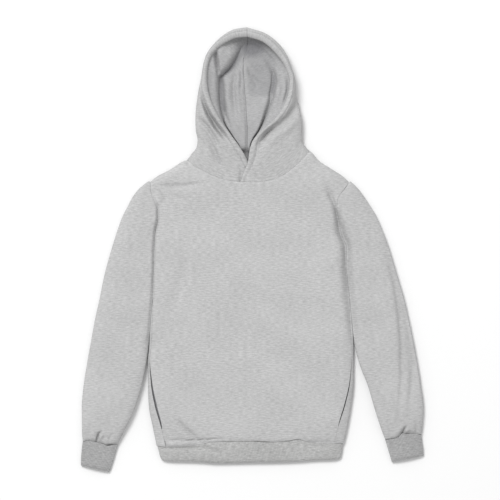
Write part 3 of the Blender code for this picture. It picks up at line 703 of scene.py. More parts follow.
def top_height(sizes, x, y):
    """Height of the body's upper layer at places in plan."""
    crown = sizes.crown / MM
    lap = LAP_RISE * hump((x - LAP_PLACE[0]) / LAP_REACH[0]) * hump((y - LAP_PLACE[1]) / LAP_REACH[1])
    neck = NECK_RISE * hump((y - NECK_RISE_Y) / NECK_RISE_REACH) + lap
    full = lerp(HEM_SEAM_Z, crown, rise((y - HEM_Y) / HEM_REACH)) + neck
    gaps = {"right": x - body_line("right_edge", y), "left": body_line("left_edge", y) - x}
    shoulder = rise(shoulder_distance(x, y) / SHOULDER_REACH)
    rounded = SIDE_Z + (full - SIDE_Z) * rise(np.minimum(*gaps.values()) / SIDE_REACH)
    valley = full
    for side, gap in gaps.items():
        seam_z, reach = beside_sleeve(side, y)
        valley = valley - (full - seam_z) * hump(gap / reach)
    armhole = ease((y - PARTING_Y) / PARTING_BLEND)
    return SIDE_Z + (lerp(rounded, valley, armhole) - SIDE_Z) * shoulder


def floor_height(x, y):
    """Height of the underside: flat, and turned up at the shoulders."""
    return SIDE_Z * (1.0 - rise(shoulder_distance(x, y) / FOOT_REACH))


def spread(low, high, step, fine_low=0.0, fine_high=0.0):
    """Stops a step apart, closer together within the fine stretch at either end."""
    stops = [np.linspace(low + fine_low, high - fine_high, max(2, round((high - low) / step)))]
    fine = np.linspace(0.0, 1.0, FINE_STOPS)
    if fine_low:
        stops.insert(0, low + fine_low * fine[:-1] ** 2)
    if fine_high:
        stops.append(high - fine_high * (1.0 - fine[1:]) ** 2)
    return np.concatenate(stops)


def draw_back(points, gap, *edges):
    """Draw edges of a sheet back along the cloth, to leave a seam."""
    places = {"start": (np.s_[0], np.s_[1]), "end": (np.s_[-1], np.s_[-2]),
              "first": (np.s_[:, 0], np.s_[:, 1]), "last": (np.s_[:, -1], np.s_[:, -2])}
    for name in edges:
        edge, inner = places[name]
        way = points[inner] - points[edge]
        size = np.maximum(np.linalg.norm(way, axis=-1, keepdims=True), 1e-6)
        points[edge] = points[edge] + way * np.minimum(gap / size, 0.5)
    return points


def stack(*parts):
    """Points from x, y and z arrays that broadcast together."""
    return np.stack(np.broadcast_arrays(*parts), axis=-1).astype(float)


def arc_lengths(points, axis):
    """Running length along one direction of a grid of points."""
    steps = np.linalg.norm(np.diff(points, axis=axis), axis=-1)
    none = np.zeros_like(np.take(steps, [0], axis=axis))
    return np.concatenate([none, np.cumsum(steps, axis=axis)], axis=axis)


def upper_part(shape, columns):
    """1 on the columns of the upper layer and 0 on the others."""
    upper = np.zeros(shape)
    upper[:, columns] = 1.0
    return upper


def cloth_uv(points):
    """Place on the cloth in metres: across along the columns, down along the rows."""
    across = arc_lengths(points, 1)
    across = across - 0.5 * across[:, -1:]
    down = np.median(arc_lengths(points, 0), axis=1)[:, None]
    return stack(across * MM, down * MM)


def plan_uv(points):
    return points[..., :2] * MM


# ---------------------------------------------------------------- materials

# Widths of the knit's loops and depths of its relief, in metres
WALE = 0.0013
COURSE = 0.0010
LOOP = 0.0012
BUMP_DEPTH = 0.0004
THREAD_DEPTH = 0.0002
# Dark colour that painted shade goes towards
PAINTED_SHADE_COLOUR = (0.06, 0.06, 0.075, 1.0)


class Signal:
    """A node's output, with which sums are written."""

    def __init__(self, finish, socket):
        self.finish = finish
        self.socket = socket

    def __add__(self, other):
        return self.finish.sum("ADD", self, other)

    def __sub__(self, other):
        return self.finish.sum("SUBTRACT", self, other)

    def __rsub__(self, other):
        return self.finish.sum("SUBTRACT", other, self)

    def __mul__(self, other):
        return self.finish.sum("MULTIPLY", self, other)

    __radd__ = __add__
    __rmul__ = __mul__


class Finish:
    """A material being built, with one method that adds any node."""

    def __init__(self, name):
        self.material = bpy.data.materials.new(name)
        self.material.use_nodes = True
        self.tree = self.material.node_tree
        self.shader = self.tree.nodes["Principled BSDF"]

    def node(self, kind, settings=None, output=0, **inputs):
        made = self.tree.nodes.new(kind)
        for name, value in (settings or {}).items():
            setattr(made, name, value)
        for name, value in inputs.items():
            key = int(name[1:]) if name[0] == "i" and name[1:].isdigit() else name.replace("_", " ")
            self.feed(made.inputs[key], value)
        return Signal(self, made.outputs[output])

    def feed(self, socket, value):
        if isinstance(value, Signal):
            self.tree.links.new(value.socket, socket)
        else:
            socket.default_value = value

    def sum(self, operation, a, b):
        return self.node("ShaderNodeMath", {"operation": operation}, i0=a, i1=b)

    def blend(self, amount, a, b):
        return self.node("ShaderNodeMix", {"data_type": "RGBA"}, output=2, i0=amount, i6=a, i7=b)

    def noise(self, place, x, y, detail=2.0, rough=0.5):
        stretched = self.node("ShaderNodeVectorMath", {"operation": "MULTIPLY"}, i0=place, i1=(x, y, 1.0))
        return self.node("ShaderNodeTexNoise", {"noise_dimensions": "3D"}, Vector=stretched,
                         Scale=1.0, Detail=detail, Roughness=rough)

    def wave(self, angle):
        return self.node("ShaderNodeMath", {"operation": "SINE"}, i0=angle)

    def bump(self, height, strength, depth):
        return self.node("ShaderNodeBump", Height=height, Strength=strength, Distance=depth)

    def shade(self):
        return self.node("ShaderNodeAttribute", {"attribute_name": "shade"}, output=2)

    def cloth(self):
        """The place on the cloth in metres, and its parts across and down."""
        place = self.node("ShaderNodeUVMap", {"uv_map": "cloth"})
        parts = self.node("ShaderNodeSeparateXYZ", Vector=place).socket.node.outputs
        return place, Signal(self, parts["X"]), Signal(self, parts["Y"])

    def set(self, **values):
        for name, value in values.items():
            self.feed(self.shader.inputs[name.replace("_", " ")], value)


def shade_of(colour, share):
    return (*(min(1.0, channel * share) for channel in colour), 1.0)


def marl(finish, place, colour, contrast):
    """Heather yarn: short light and dark streaks along the knit's courses."""
    streaks = finish.noise(place, 95.0, 430.0, 3.0, 0.6)
    fibres = finish.noise(place, 420.0, 1500.0, 2.0, 0.6)
    patches = finish.noise(place, 9.0, 14.0)
    tone = 0.5 + (streaks - 0.5) * 2.2 + (fibres - 0.5) * 1.1 + (patches - 0.5) * 0.5
    mixed = finish.blend(tone, shade_of(colour, 1.0 - contrast), shade_of(colour, 1.0 + contrast))
    return mixed, fibres, streaks


def fleece(name, colour, contrast, sheen=0.08, shaded=0.0):
    """Plain knit face of brushed fleece, with painted shade where the sheet's shade attribute says so."""
    finish = Finish(name)
    place, across, down = finish.cloth()
    mixed, fibres, streaks = marl(finish, place, colour, contrast)
    wale = finish.wave(across * (TURN / WALE))
    course = finish.wave(down * (TURN / COURSE) + wale * 0.9)
    surface = wale * 0.25 + course * 0.2 + fibres * 1.1 + streaks * 0.5
    # Painted shade: the colour goes towards the dark shade colour where the shade attribute says so
    if shaded:
        mixed = finish.blend(finish.shade() * shaded, mixed, PAINTED_SHADE_COLOUR)
    finish.set(Base_Color=mixed, Roughness=0.86 + fibres * 0.12,
               Normal=finish.bump(surface, 0.32, BUMP_DEPTH), Metallic=0.0,
               Sheen_Weight=sheen, Sheen_Roughness=0.45, Specular_IOR_Level=0.2)
    return finish.material


def rib_knit(name, colour, contrast):
    """Rib knit, whose ribs are in the mesh: marl, loops along each rib and painted shade in the furrows."""
    finish = Finish(name)
    place, _, down = finish.cloth()
    mixed, fibres, streaks = marl(finish, place, colour, contrast * 1.5)
    loops = finish.wave(down * (TURN / LOOP))
    # Painted shade in the furrows between the ribs
    dark = finish.blend(finish.shade() * 0.35, mixed, shade_of(colour, 0.55))
    surface = loops * 0.3 + fibres * 1.0 + streaks * 0.4
    finish.set(Base_Color=dark, Roughness=0.88 + fibres * 0.1, Normal=finish.bump(surface, 0.35, BUMP_DEPTH),
               Metallic=0.0, Sheen_Weight=0.12, Sheen_Roughness=0.5, Specular_IOR_Level=0.2)
    return finish.material


def thread(name, colour):
    """Sewing thread, twisted along each stitch."""
    finish = Finish(name)
    place = finish.node("ShaderNodeTexCoord", output=3)
    twist = finish.noise(place, 2600.0, 2600.0)
    tone = finish.blend(twist, shade_of(colour, 0.8), shade_of(colour, 1.2))
    finish.set(Base_Color=tone, Roughness=0.6 + twist * 0.2, Normal=finish.bump(twist, 0.3, THREAD_DEPTH),
               Metallic=0.0)
    return finish.material


# ---------------------------------------------------------------- making a piece

# Points nearer than this are one point; edges steeper than this stay sharp
MERGE = 0.00001
SMOOTH_ANGLE = math.radians(50.0)

# How far a piece may reach past its solid
ROOM = 0.01
ROOM_SHARE = 0.03


def deselect():
    if bpy.context.active_object and bpy.context.active_object.mode != "OBJECT":
        bpy.ops.object.mode_set(mode="OBJECT")
    bpy.ops.object.select_all(action="DESELECT")


def grid_places(mesh, rows, columns):
    """Row and column of every point of a fresh grid, from where it lies."""
    places = np.empty(len(mesh.vertices) * 3)
    mesh.vertices.foreach_get("co", places)
    places = places.reshape(-1, 3)
    if len(places) != rows * columns:
        raise RuntimeError(f"the grid has {len(places)} points and {rows * columns} are needed")
    j = np.rint((places[:, 0] + 1.0) * 0.5 * (columns - 1)).astype(int)
    i = np.rint((places[:, 1] + 1.0) * 0.5 * (rows - 1)).astype(int)
    return i, j


def lay_sheet(name, points, uv, shades=None):
    """A grid laid over rows of points, with its place on the cloth as its UV map and any painted shade as its
    shade attribute.
    """
    rows, columns = points.shape[:2]
    deselect()
    bpy.ops.mesh.primitive_grid_add(x_subdivisions=columns - 1, y_subdivisions=rows - 1, size=2.0)
    piece = bpy.context.active_object
    piece.name = name
    mesh = piece.data
    mesh.name = name
    i, j = grid_places(mesh, rows, columns)
    mesh.vertices.foreach_set("co", ((points[i, j] - CENTRE) * MM).astype(np.float32).ravel())
    corners = np.empty(len(mesh.loops), np.int32)
    mesh.loops.foreach_get("vertex_index", corners)
    layer = mesh.uv_layers[0]
    layer.name = "cloth"
    layer.uv.foreach_set("vector", uv[i, j][corners].astype(np.float32).ravel())
    if shades is not None:
        shade = mesh.attributes.new("shade", "FLOAT", "POINT")
        shade.data.foreach_set("value", shades[i, j].astype(np.float32).ravel())
    mesh.update()
    return piece


def finish_sheet(piece, wall, material, flip=False, join=False):
    """Join the edges that meet, turn the face outwards and give the sheet its wall, all above the surface."""
    bpy.ops.object.mode_set(mode="EDIT")
    bpy.ops.mesh.select_all(action="SELECT")
    if join:
        bpy.ops.mesh.remove_doubles(threshold=MERGE)
    if flip:
        bpy.ops.mesh.flip_normals()
    bpy.ops.object.mode_set(mode="OBJECT")
    thick = piece.modifiers.new("wall", "SOLIDIFY")
    thick.thickness = wall
    thick.offset = -1.0
    bpy.ops.object.modifier_apply(modifier=thick.name)
    for vert in piece.data.vertices:
        vert.co.z = max(vert.co.z, 0.0)
    bpy.ops.object.shade_smooth_by_angle(angle=SMOOTH_ANGLE)
    piece.data.materials.clear()
    piece.data.materials.append(material)


def seat(piece, node):
    """Put the piece on its body and hide its solid, after making sure that it lies within the solid's reach.
    """
    low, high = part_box(node)
    mine = np.array([piece.matrix_world @ vert.co for vert in piece.data.vertices])
    for k in range(3):
        room = ROOM + ROOM_SHARE * (high[k] - low[k])
        if mine[:, k].min() < low[k] - room or mine[:, k].max() > high[k] + room:
            raise RuntimeError(f"{piece.name} reaches outside its solid along axis {k}")
    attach(piece, "root")
    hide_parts(node)


# ---------------------------------------------------------------- body

def body_rows(y_side, low_y, top_line, share):
    """How far up each point lies, between the hem and the shoulders and neck."""
    top_x = lerp(top_line[0][0], top_line[-1][0], share)
    return lerp(low_y, line_height(top_line, top_x), (y_side - HEM_Y) / (TIP_Y - HEM_Y))


def front_points(sizes):
    step = sizes.mesh_step / MM
    dip = sizes.seam_dip / MM
    y_side = spread(HEM_Y, TIP_Y, step, FINE_FOOT, FINE_TIP)[:, None]
    share = spread(0.0, 1.0, step / CHEST_WIDTH, FINE_SIDE, FINE_SIDE)[None, :]
    seam_right = body_line("right_seam", y_side)
    seam_left = body_line("left_seam", y_side)
    gape = pocket_gape(y_side)
    x = lerp(seam_right + POCKET_GAPE_RIGHT * gape, seam_left - POCKET_GAPE_LEFT * gape, share)
    y = body_rows(y_side, line_height(HEM_EDGE, x), FRONT_TOP, share)
    z = top_height(sizes, x, y)
    near = np.minimum(share, 1.0 - share) * (seam_left - seam_right)
    z = z + POCKET_LIFT * gape * hump(near / POCKET_LIFT_REACH)
    full = ease(near / EDGE_CALM) * ease(shoulder_distance(x, y) / EDGE_CALM)
    z = z + folded(x, y, FRONT_FOLDS, sizes.crease) * ease(near / FOLD_EDGE)
    z = z + unevenness(x, y) * full * sizes.ripple / MM
    to_hem = y - line_height(HEM_EDGE, x)
    gathers = np.sin(x / 6.1 + 2.2 * np.sin(x / 31.0)) + 0.6 * np.sin(x / 10.7 + 1.0)
    z = z + GATHER * gathers * hump((to_hem - GATHER_Y) / GATHER_REACH) * full
    z = z - HEM_DIP * dip * hump(to_hem / SEAM_REACH)
    to_neck = path_distance(x, y, [RIGHT_SHOULDER[-1], *FRONT_NECK, LEFT_SHOULDER[0]])[0]
    z = z - NECK_DIP * dip * hump(to_neck / (0.6 * SEAM_REACH))
    seam_fade = ease((y - UNDERARM_Y) / SIDE_SEAM_FADE)
    for gap in (x - seam_right, seam_left - x):
        z = z - dip * hump(gap / SIDE_SEAM_REACH) * seam_fade * shoulder_calm(y)
    return stack(x, y, np.maximum(z, LEAST_Z))


def make_front(sizes, colours):
    points = draw_back(front_points(sizes), SEAM_GAP, "start", "end", "first", "last")
    piece = lay_sheet("front", points, plan_uv(points))
    finish_sheet(piece, sizes.wall, fleece("body_fleece", colours.body, colours.marl))
    seat(piece, "front_body")


def back_points(sizes):
    """The back: flat on the surface, and turned up to the side seams below the underarm."""
    y_side = spread(HEM_Y, TIP_Y, BACK_STEP, 0.0, FINE_TIP)[:, None]
    wrapped = ease((ARMHOLE_FLOOR_Y - y_side) / (ARMHOLE_FLOOR_Y - UNDERARM_Y))
    columns = []
    for side, inward in INWARD.items():
        seam = body_line(side + "_seam", y_side)
        edge = body_line(side + "_edge", y_side)
        x_up = edge + inward * np.abs(seam - edge) * (1.0 - even(13)) ** 1.7
        turn = even(9)[:, 1:] ** 1.4
        x = np.concatenate([x_up, edge + inward * FOOT_REACH * turn], axis=1)
        z_foot = side_height(side, y_side) * (1.0 - rise(turn))
        z = np.concatenate([top_height(sizes, x_up, y_side), z_foot], axis=1)
        flat = seam + inward * np.linspace(0.0, WRAP_FLAT, x.shape[1])[None, :]
        columns.append((lerp(flat, x, wrapped), z * wrapped))
    (right_x, right_z), (left_x, left_z) = columns
    floor_x = lerp(right_x[:, -1:], left_x[:, -1:], even(92)[:, 1:-1])
    x = np.concatenate([right_x, floor_x, left_x[:, ::-1]], axis=1)
    z = np.concatenate([right_z, 0.0 * floor_x, left_z[:, ::-1]], axis=1)
    seam_right = body_line("right_seam", y_side)
    seam_left = body_line("left_seam", y_side)
    share = np.clip((x - seam_right) / (seam_left - seam_right), 0.0, 1.0)
    low_y = lerp(HEM_Y, line_height(HEM_EDGE, x), ease(z / 8.0))
    y = body_rows(y_side, low_y, BACK_TOP, share)
    z = np.maximum(z, floor_height(x, y))
    z = z + ease(z / 3.0) * folded(x, y, FRONT_FOLDS, 0.6 * sizes.crease)
    return stack(x, y, np.maximum(z, 0.0))


def make_back(sizes, colours):
    points = draw_back(back_points(sizes), SEAM_GAP, "start", "end", "first", "last")
    piece = lay_sheet("back", points, plan_uv(points))
    finish_sheet(piece, sizes.wall, fleece("back_fleece", colours.body, colours.marl), flip=True)
    seat(piece, "back_body")


# ---------------------------------------------------------------- sleeves, cuffs and hem band

def tube(rows, shares, side_z, crown_z, reaches, seam_z, seam_floor, open_reach=None, opened=0.0):
    """Sections of a tube that lies flat, from the inner edge over the top and back below."""
    top, floor = shares
    inner = np.stack([rows.inner_x, rows.inner_y], axis=-1)[:, None, :]
    outer = np.stack([rows.outer_x, rows.outer_y], axis=-1)[:, None, :]
    width = np.linalg.norm(outer - inner, axis=-1)
    inner_half = top[None, :] < 0.5
    near = np.minimum(top, 1.0 - top)[None, :] * width
    base = np.where(inner_half, seam_z, side_z)
    profile = rise(near / np.minimum(np.where(inner_half, *reaches), 0.5 * width))
    if open_reach is not None:
        valley = hollow(near / np.minimum(open_reach, 0.35 * width))
        profile = lerp(profile, valley, opened * inner_half)
    top_z = base + (crown_z - base) * profile
    below = np.minimum(floor, 1.0 - floor)[None, :] * width
    base = np.where(floor[None, :] < 0.5, seam_floor, side_z)
    floor_z = base * (1.0 - rise(below / np.minimum(FOOT_REACH, 0.1 * width)))
    plan = lerp(inner, outer, np.concatenate(shares)[None, :, None])
    z = np.concatenate([top_z, floor_z], axis=1)
    return np.concatenate([plan, z[..., None]], axis=-1)


def fine_rows(table, step, end=0.0, end_step=1.0):
    """More rows of a table, on smooth curves through its own, and closer together near its end."""
    plan = np.array(table, float)
    moved = np.diff(plan, axis=0)
    keys = running(0.5 * (np.hypot(moved[:, 0], moved[:, 1]) + np.hypot(moved[:, 2], moved[:, 3])))
    stops = np.linspace(0.0, keys[-1] - end, max(4, round((keys[-1] - end) / step)))
    if end:
        stops = np.concatenate([stops, np.linspace(keys[-1] - end, keys[-1], round(end / end_step))[1:]])
    return Sleeve(*smooth_read(keys, plan, stops).T), stops


def tube_shares(top_count, floor_count):
    """Stops over the top and back below a tube, closest at its two edges."""
    top = 0.5 - 0.5 * np.cos(np.linspace(0.0, np.pi, top_count))
    floor = 0.5 + 0.5 * np.cos(np.linspace(0.0, np.pi, floor_count + 1)[1:])
    return top, floor


def rib_shares(top_count, floor_count, bunched):
    """Stops round a rib, more evenly apart than those of a sleeve."""
    top, floor = tube_shares(top_count, floor_count)
    return (lerp(np.linspace(0.0, 1.0, top_count), top, bunched),
            lerp(np.linspace(1.0, 0.0, floor_count + 1)[1:], floor, bunched))


def wander(points, shares, side, fade):
    """Move the upper layer along the sleeve, so that the cuff's seam isn't a straight line."""
    shift = smooth_read(column(CUFF_SEAM, "share"), column(CUFF_SEAM, side), shares)
    middle = points.mean(axis=1)
    way = middle[-1] - middle[-3]
    way = way / np.linalg.norm(way)
    points[:, :len(shares), :2] += (fade * shift[None, :])[..., None] * way[:2]


def sleeve_points(sizes, side):
    table, folds = SLEEVES[side]
    rows, stops = fine_rows(table, sizes.mesh_step / MM * 1.15, SLEEVE_END, 1.5)
    dip = sizes.seam_dip / MM
    open_part = rows.inner_y > UNDERARM_Y
    seam_x = body_line(side + "_seam", rows.inner_y) - INWARD[side] * 2.0 * SEAM_GAP
    rows = rows._replace(inner_x=np.where(open_part, seam_x, rows.inner_x))
    width = np.hypot(rows.outer_x - rows.inner_x, rows.outer_y - rows.inner_y)
    to_end = stops[-1] - stops
    crown = lerp(SIDE_Z, sizes.sleeve_crown / MM, rise(width / FULL_WIDTH))
    crown = lerp(SLEEVE_END_Z, crown, rise(to_end / SLEEVE_END))
    closing = ease((ARMHOLE_FLOOR_Y - rows.inner_y) / (ARMHOLE_FLOOR_Y - UNDERARM_Y))
    open_reach = beside_sleeve(side, rows.inner_y)[1][:, None]
    free = ease((PARTING_Y - rows.inner_y) / 40.0) * ease(to_end / 60.0)
    seam_z = np.minimum(lerp(side_height(side, rows.inner_y), SLEEVE_INNER_Z, free), crown)[:, None]
    seam_floor = seam_z * np.where(open_part, closing, 1.0)[:, None]
    opened = np.where(open_part, 1.0 - closing, 0.0)[:, None]
    beside_body = ease((rows.inner_y - PARTING_Y) / PARTING_BLEND)[:, None]
    shares = tube_shares(*SLEEVE_STOPS)
    top = shares[0]
    tops = len(top)
    points = tube(rows, shares, SIDE_Z, crown[:, None], (INNER_REACH, SLEEVE_REACH), seam_z, seam_floor,
                  open_reach, beside_body)
    wander(points, top, side, 1.0 - ease(to_end / WANDER_FADE)[:, None])
    x, y, z = np.moveaxis(points, -1, 0)
    upper = upper_part(z.shape, np.s_[:tops])
    upper[:, :tops] *= ease(np.minimum(top, 1.0 - top)[None, :] * width[:, None] / SLEEVE_EDGE)
    puckers = np.sin(x / 4.3 + 1.6 * np.sin(x / 17.0)) + 0.5 * np.sin(x / 8.1)
    z = z + upper * folded(x, y, folds, sizes.crease)
    z = z + upper * unevenness(x, y) * sizes.ripple / MM
    beside = top[None, :] * width[:, None]
    kept = opened * shoulder_calm(rows.inner_y)[:, None]
    z[:, :tops] -= dip * hump(beside / SIDE_SEAM_REACH) * kept
    z = z + upper * 0.55 * puckers * hump((to_end[:, None] - 5.0) / 11.0)
    z = z - upper * dip * hump(to_end[:, None] / SEAM_REACH)
    z[:, :tops] = np.maximum(z[:, :tops], LEAST_Z)
    return stack(x, y, np.maximum(z, 0.0)), open_part


def make_sleeve(sizes, colours, side):
    points, open_part = sleeve_points(sizes, side)
    points[~open_part, -1] = points[~open_part, 0]
    piece = lay_sheet("sleeve_" + side + "_cloth", points, cloth_uv(points))
    material = fleece("sleeve_fleece_" + side, colours.sleeve, colours.marl)
    finish_sheet(piece, sizes.wall, material, flip=side == "left", join=True)
    seat(piece, "sleeve_" + side)


def ribs(points, sizes, upper):
    """Ribs across a band: how far each point stands out, and how deep in a furrow it is, which sets the
    painted shade there.
    """
    wave = np.cos(TURN * arc_lengths(points, 1) * MM / sizes.rib_pitch)
    return 0.5 * sizes.rib_depth / MM * wave * upper, 0.5 - 0.5 * wave


def cuff_points(sizes, side):
    rows, stops = fine_rows(CUFFS[side], 3.0)
    shares = rib_shares(*CUFF_STOPS)
    crown = np.full((len(stops), 1), sizes.cuff_crown / MM)
    flat = np.full((len(stops), 1), CUFF_SIDE_Z)
    points = tube(rows, shares, CUFF_SIDE_Z, crown, (SLEEVE_REACH, SLEEVE_REACH), flat, flat)
    upper = upper_part(points.shape[:2], np.s_[:len(shares[0])])
    stand, furrow = ribs(points, sizes, upper)
    lowest = (stops / stops[-1])[:, None]
    wander(points, shares[0], side, 1.0 - ease(lowest))
    rolled = 1.0 - 0.25 * hump((1.0 - lowest) / 0.06)
    points[..., 2] = points[..., 2] * rolled + stand
    points[..., 2] += upper * 0.7 * unevenness(points[..., 0] * 1.6, points[..., 1] * 1.6)
    points[..., 2] -= upper * 1.2 * hump(lowest / 0.05)
    return points, furrow


def make_cuff(sizes, colours, side):
    points, furrow = cuff_points(sizes, side)
    points[:, -1] = points[:, 0]
    piece = lay_sheet("cuff_" + side + "_rib", points, cloth_uv(points), furrow)
    material = rib_knit("cuff_rib_" + side, colours.rib, colours.marl)
    finish_sheet(piece, sizes.rib_wall, material, flip=side == "left", join=True)
    seat(piece, "cuff_" + side)


def band_points(sizes):
    depth = np.linspace(0.0, 1.0, BAND_ROWS)
    edges = np.array([row[1:] for row in HEM_BAND], float)
    right, left, crown = smooth_read(column(HEM_BAND, "depth"), edges, depth).T
    rows = Sleeve(right, 0.0 * depth, left, 0.0 * depth)
    shares = rib_shares(*BAND_STOPS)
    flat = np.full((len(depth), 1), BAND_SIDE_Z)
    points = tube(rows, shares, BAND_SIDE_Z, crown[:, None], (BAND_REACH, BAND_REACH), flat, flat)
    x = points[..., 0]
    depth = depth[:, None]
    inset = np.minimum(x - right[:, None], left[:, None] - x)
    corner = 9.0 * (1.0 - rise(inset / 20.0))
    upper = upper_part(x.shape, np.s_[:len(shares[0])])
    raised = ease(points[..., 2] / 8.0)
    start = lerp(BAND_TOP, line_height(HEM_EDGE, x) - SEAM_GAP, raised)
    edge = line_height(BAND_EDGE, x) + 0.5 * corner
    foot = lerp(np.maximum(BAND_FOOT + corner, edge + 2.0), edge, raised)
    points[..., 1] = lerp(start, foot, depth)
    stand, furrow = ribs(points, sizes, upper)
    waves = np.sin(x / 9.0 + 2.0 * np.sin(x / 40.0))
    sag = 0.8 * unevenness(x * 1.3, points[..., 1]) + 0.5 * waves * hump(depth / 0.35)
    sunk = sag * ease(depth / 0.3) - 0.7 * hump(depth / 0.07)
    points[..., 2] += upper * sunk * ease(inset / 8.0)
    points[..., 2] += upper * folded(x, points[..., 1], BAND_FOLDS, sizes.crease)
    points[..., 2] += stand * ease(inset / 3.0)
    points[..., 2] *= 1.0 - 0.2 * hump((1.0 - depth) / 0.05) * upper
    # The painted shade in the furrows is stronger towards the band's middle and its lower edge
    closed = hump((x - 20.0) / 120.0) * (0.5 + 0.5 * depth)
    return points, furrow * lerp(0.3, 1.6, closed)


def make_band(sizes, colours):
    points, furrow = band_points(sizes)
    points[:, -1] = points[:, 0]
    piece = lay_sheet("hem_band_rib", points, cloth_uv(points), furrow)
    finish_sheet(piece, sizes.rib_wall, rib_knit("hem_rib", colours.band, colours.marl), flip=True, join=True)
    seat(piece, "hem_band")


# ---------------------------------------------------------------- hood

def hood_rows(table, step):
    """More rows of a hood table, each value a column of numbers."""
    values = np.array(table, float)
    sides = np.hypot(*np.diff(values[:, 0:2], axis=0).T)
    rims = np.hypot(*np.diff(values[:, 4:6], axis=0).T)
    keys = running(0.5 * (sides + rims))
    stops = np.linspace(0.0, keys[-1], round(keys[-1] / step))
    fine = smooth_read(keys, values, stops)
    return Hood(*[fine[:, k:k + 1] for k in range(fine.shape[1])]), stops[:, None]


def between(rows, start, end, share):
    """Plan places a share of the way from one line of the hood to another."""
    return [lerp(getattr(rows, start + axis), getattr(rows, end + axis), share) for axis in ("_x", "_y")]


def meet_neck(points, stops, neck_y, neck_z, power):
    """Bend the first rows of the hood onto the seam of the neck."""
    near = 1.0 - ease(stops / NECK_REACH)
    points[..., 1] += (neck_y - points[:1, :, 1]) * near
    points[..., 2] += (neck_z - points[:1, :, 2]) * near ** power


def hood_outer_points(sizes, side):
    rows, stops = hood_rows(HOODS[side], sizes.mesh_step / MM * HOOD_STEP)
    foot = 1.0 - HOOD_FOOT / np.hypot(rows.side_x - rows.back_x, rows.side_y - rows.back_y)
    turn = 1.0 - (1.0 - foot) * (1.0 - even(9)[:, 1:]) ** 1.5
    share = np.concatenate([foot * even(26), turn], axis=1)
    floor_z = rows.side_z * (1.0 - rise((1.0 - share) / (1.0 - foot)))
    floor = stack(*between(rows, "back", "side", share), floor_z)
    neck_x = floor[:1, :, 0]
    neck_y = line_height(BACK_TOP, neck_x)
    meet_neck(floor, stops, neck_y, floor_height(neck_x, neck_y), 3)

    s = even(66)[:, 1:]
    side_z = lerp(rows.side_z, rows.crest_z, np.sin(0.5 * np.pi * s) ** 0.7)
    wall = stack(*between(rows, "side", "crest", 1.0 - np.cos(0.5 * np.pi * s)), side_z)
    s = even(15)[:, 1:]
    rim_z = lerp(rows.crest_z, rows.rim_z, lerp(s ** 0.6, s ** 2, ease(stops / 60.0 - 0.4)))
    rim = stack(*between(rows, "crest", "rim", s), rim_z)
    top = np.concatenate([wall, rim], axis=1)
    neck_x = top[:1, :, 0]
    neck_y = line_height(FRONT_TOP, neck_x)
    neck_z = top_height(sizes, neck_x, neck_y)
    if side == "right":
        neck_z = neck_z - OVERLAP_DROP * ease((neck_x - OVERLAP_X) / OVERLAP_FADE)
    meet_neck(top, stops, neck_y, neck_z - sizes.seam_dip / MM * HOOD_DIP, 2)
    return np.concatenate([floor, top], axis=1), share.shape[1], stops


def hem_depth(y):
    """Depth of the hem along the rim, narrower where the rims cross."""
    return lerp(HEM_OVERLAP_DEPTH, HEM_DEPTH, ease((y - 165.0) / 60.0))


def shaped_hood(sizes, side):
    """The outer hood with its creases and the hem along its rim."""
    points, first_top, stops = hood_outer_points(sizes, side)
    x, y, z = np.moveaxis(points, -1, 0)
    upper = upper_part(z.shape, np.s_[first_top:]) * ease((z - 14.0) / 8.0)
    to_rim = arc_lengths(points[:, ::-1], 1)[:, ::-1]
    creased = folded(x, y, HOOD_FOLDS[side], sizes.crease) * ease(to_rim / 5.0)
    if side == "right":
        under = ease((x - OVERLAP_X) / OVERLAP_FADE) * (1.0 - ease((y - OVERLAP_TOP) / OVERLAP_TOP_FADE))
        creased = creased * (1.0 - under)
    z = z + upper * creased
    z = z + upper * unevenness(1.3 * x, 1.3 * y) * 1.2 * sizes.ripple / MM
    deep = hem_depth(y)
    hem = 0.9 * np.sin(np.pi * np.clip(to_rim / deep, 0.0, 1.0)) - HEM_GROOVE * hump((to_rim - deep) / 1.8)
    roll = -1.5 * (1.0 - rise(to_rim / 3.0))
    z = z + upper * (hem + roll)
    z = z - upper * 1.1 * hump((stops[-1] - stops) / 2.6)
    # Not even the deepest crease reaches down to the layer below
    z = np.where(upper > 0.0, np.maximum(z, np.minimum(points[..., 2], LEAST_Z + 4.0)), z)
    return stack(x, y, z), to_rim, upper


def make_hood_outer(sizes, colours, side):
    points, _, _ = shaped_hood(sizes, side)
    draw_back(points, SEAM_GAP, "start", "end", "first")
    piece = lay_sheet("hood_" + side + "_cloth", points, cloth_uv(points))
    material = fleece("hood_fleece_" + side, colours.hood, colours.marl)
    finish_sheet(piece, sizes.wall, material, flip=side == "left")
    seat(piece, "hood_outer_" + side)
    return piece


def refine_columns(points, count):
    """More columns, on smooth curves through the given ones."""
    lengths = np.linalg.norm(np.diff(points, axis=1), axis=-1).mean(axis=0)
    keys = running(np.maximum(lengths, 0.5))
    stops = np.linspace(0.0, keys[-1], count)
    flat = np.moveaxis(points, 1, 0).reshape(points.shape[1], -1)
    fine = smooth_read(keys, flat, stops).reshape(count, points.shape[0], 3)
    return np.moveaxis(fine, 0, 1)


def lining_swell(rows, x, y):
    """How far the floor of the hood swells up between its foot and its middle seam."""
    left = 9.5 * ease((446.0 - y) / 36.0)
    right = lerp(9.5, 4.0, ease((y - 346.0) / 16.0)) * ease((452.0 - y) / 30.0)
    low = 6.0 * ease((350.0 - y) / 70.0)
    swell = (lerp(left, right, ease((x + 24.0) / 26.0)) + low) * ease((y - 212.0) / 18.0)
    from_foot = np.hypot(x - rows.foot_x, y - rows.foot_y)
    from_seam = np.hypot(x - rows.back_x, y - rows.back_y)
    foot_reach = lerp(6.0, 2.6, ease((330.0 - y) / 50.0))
    return swell * hollow(from_foot / foot_reach) * (1.0 - 0.3 * hump(from_seam / 5.0))


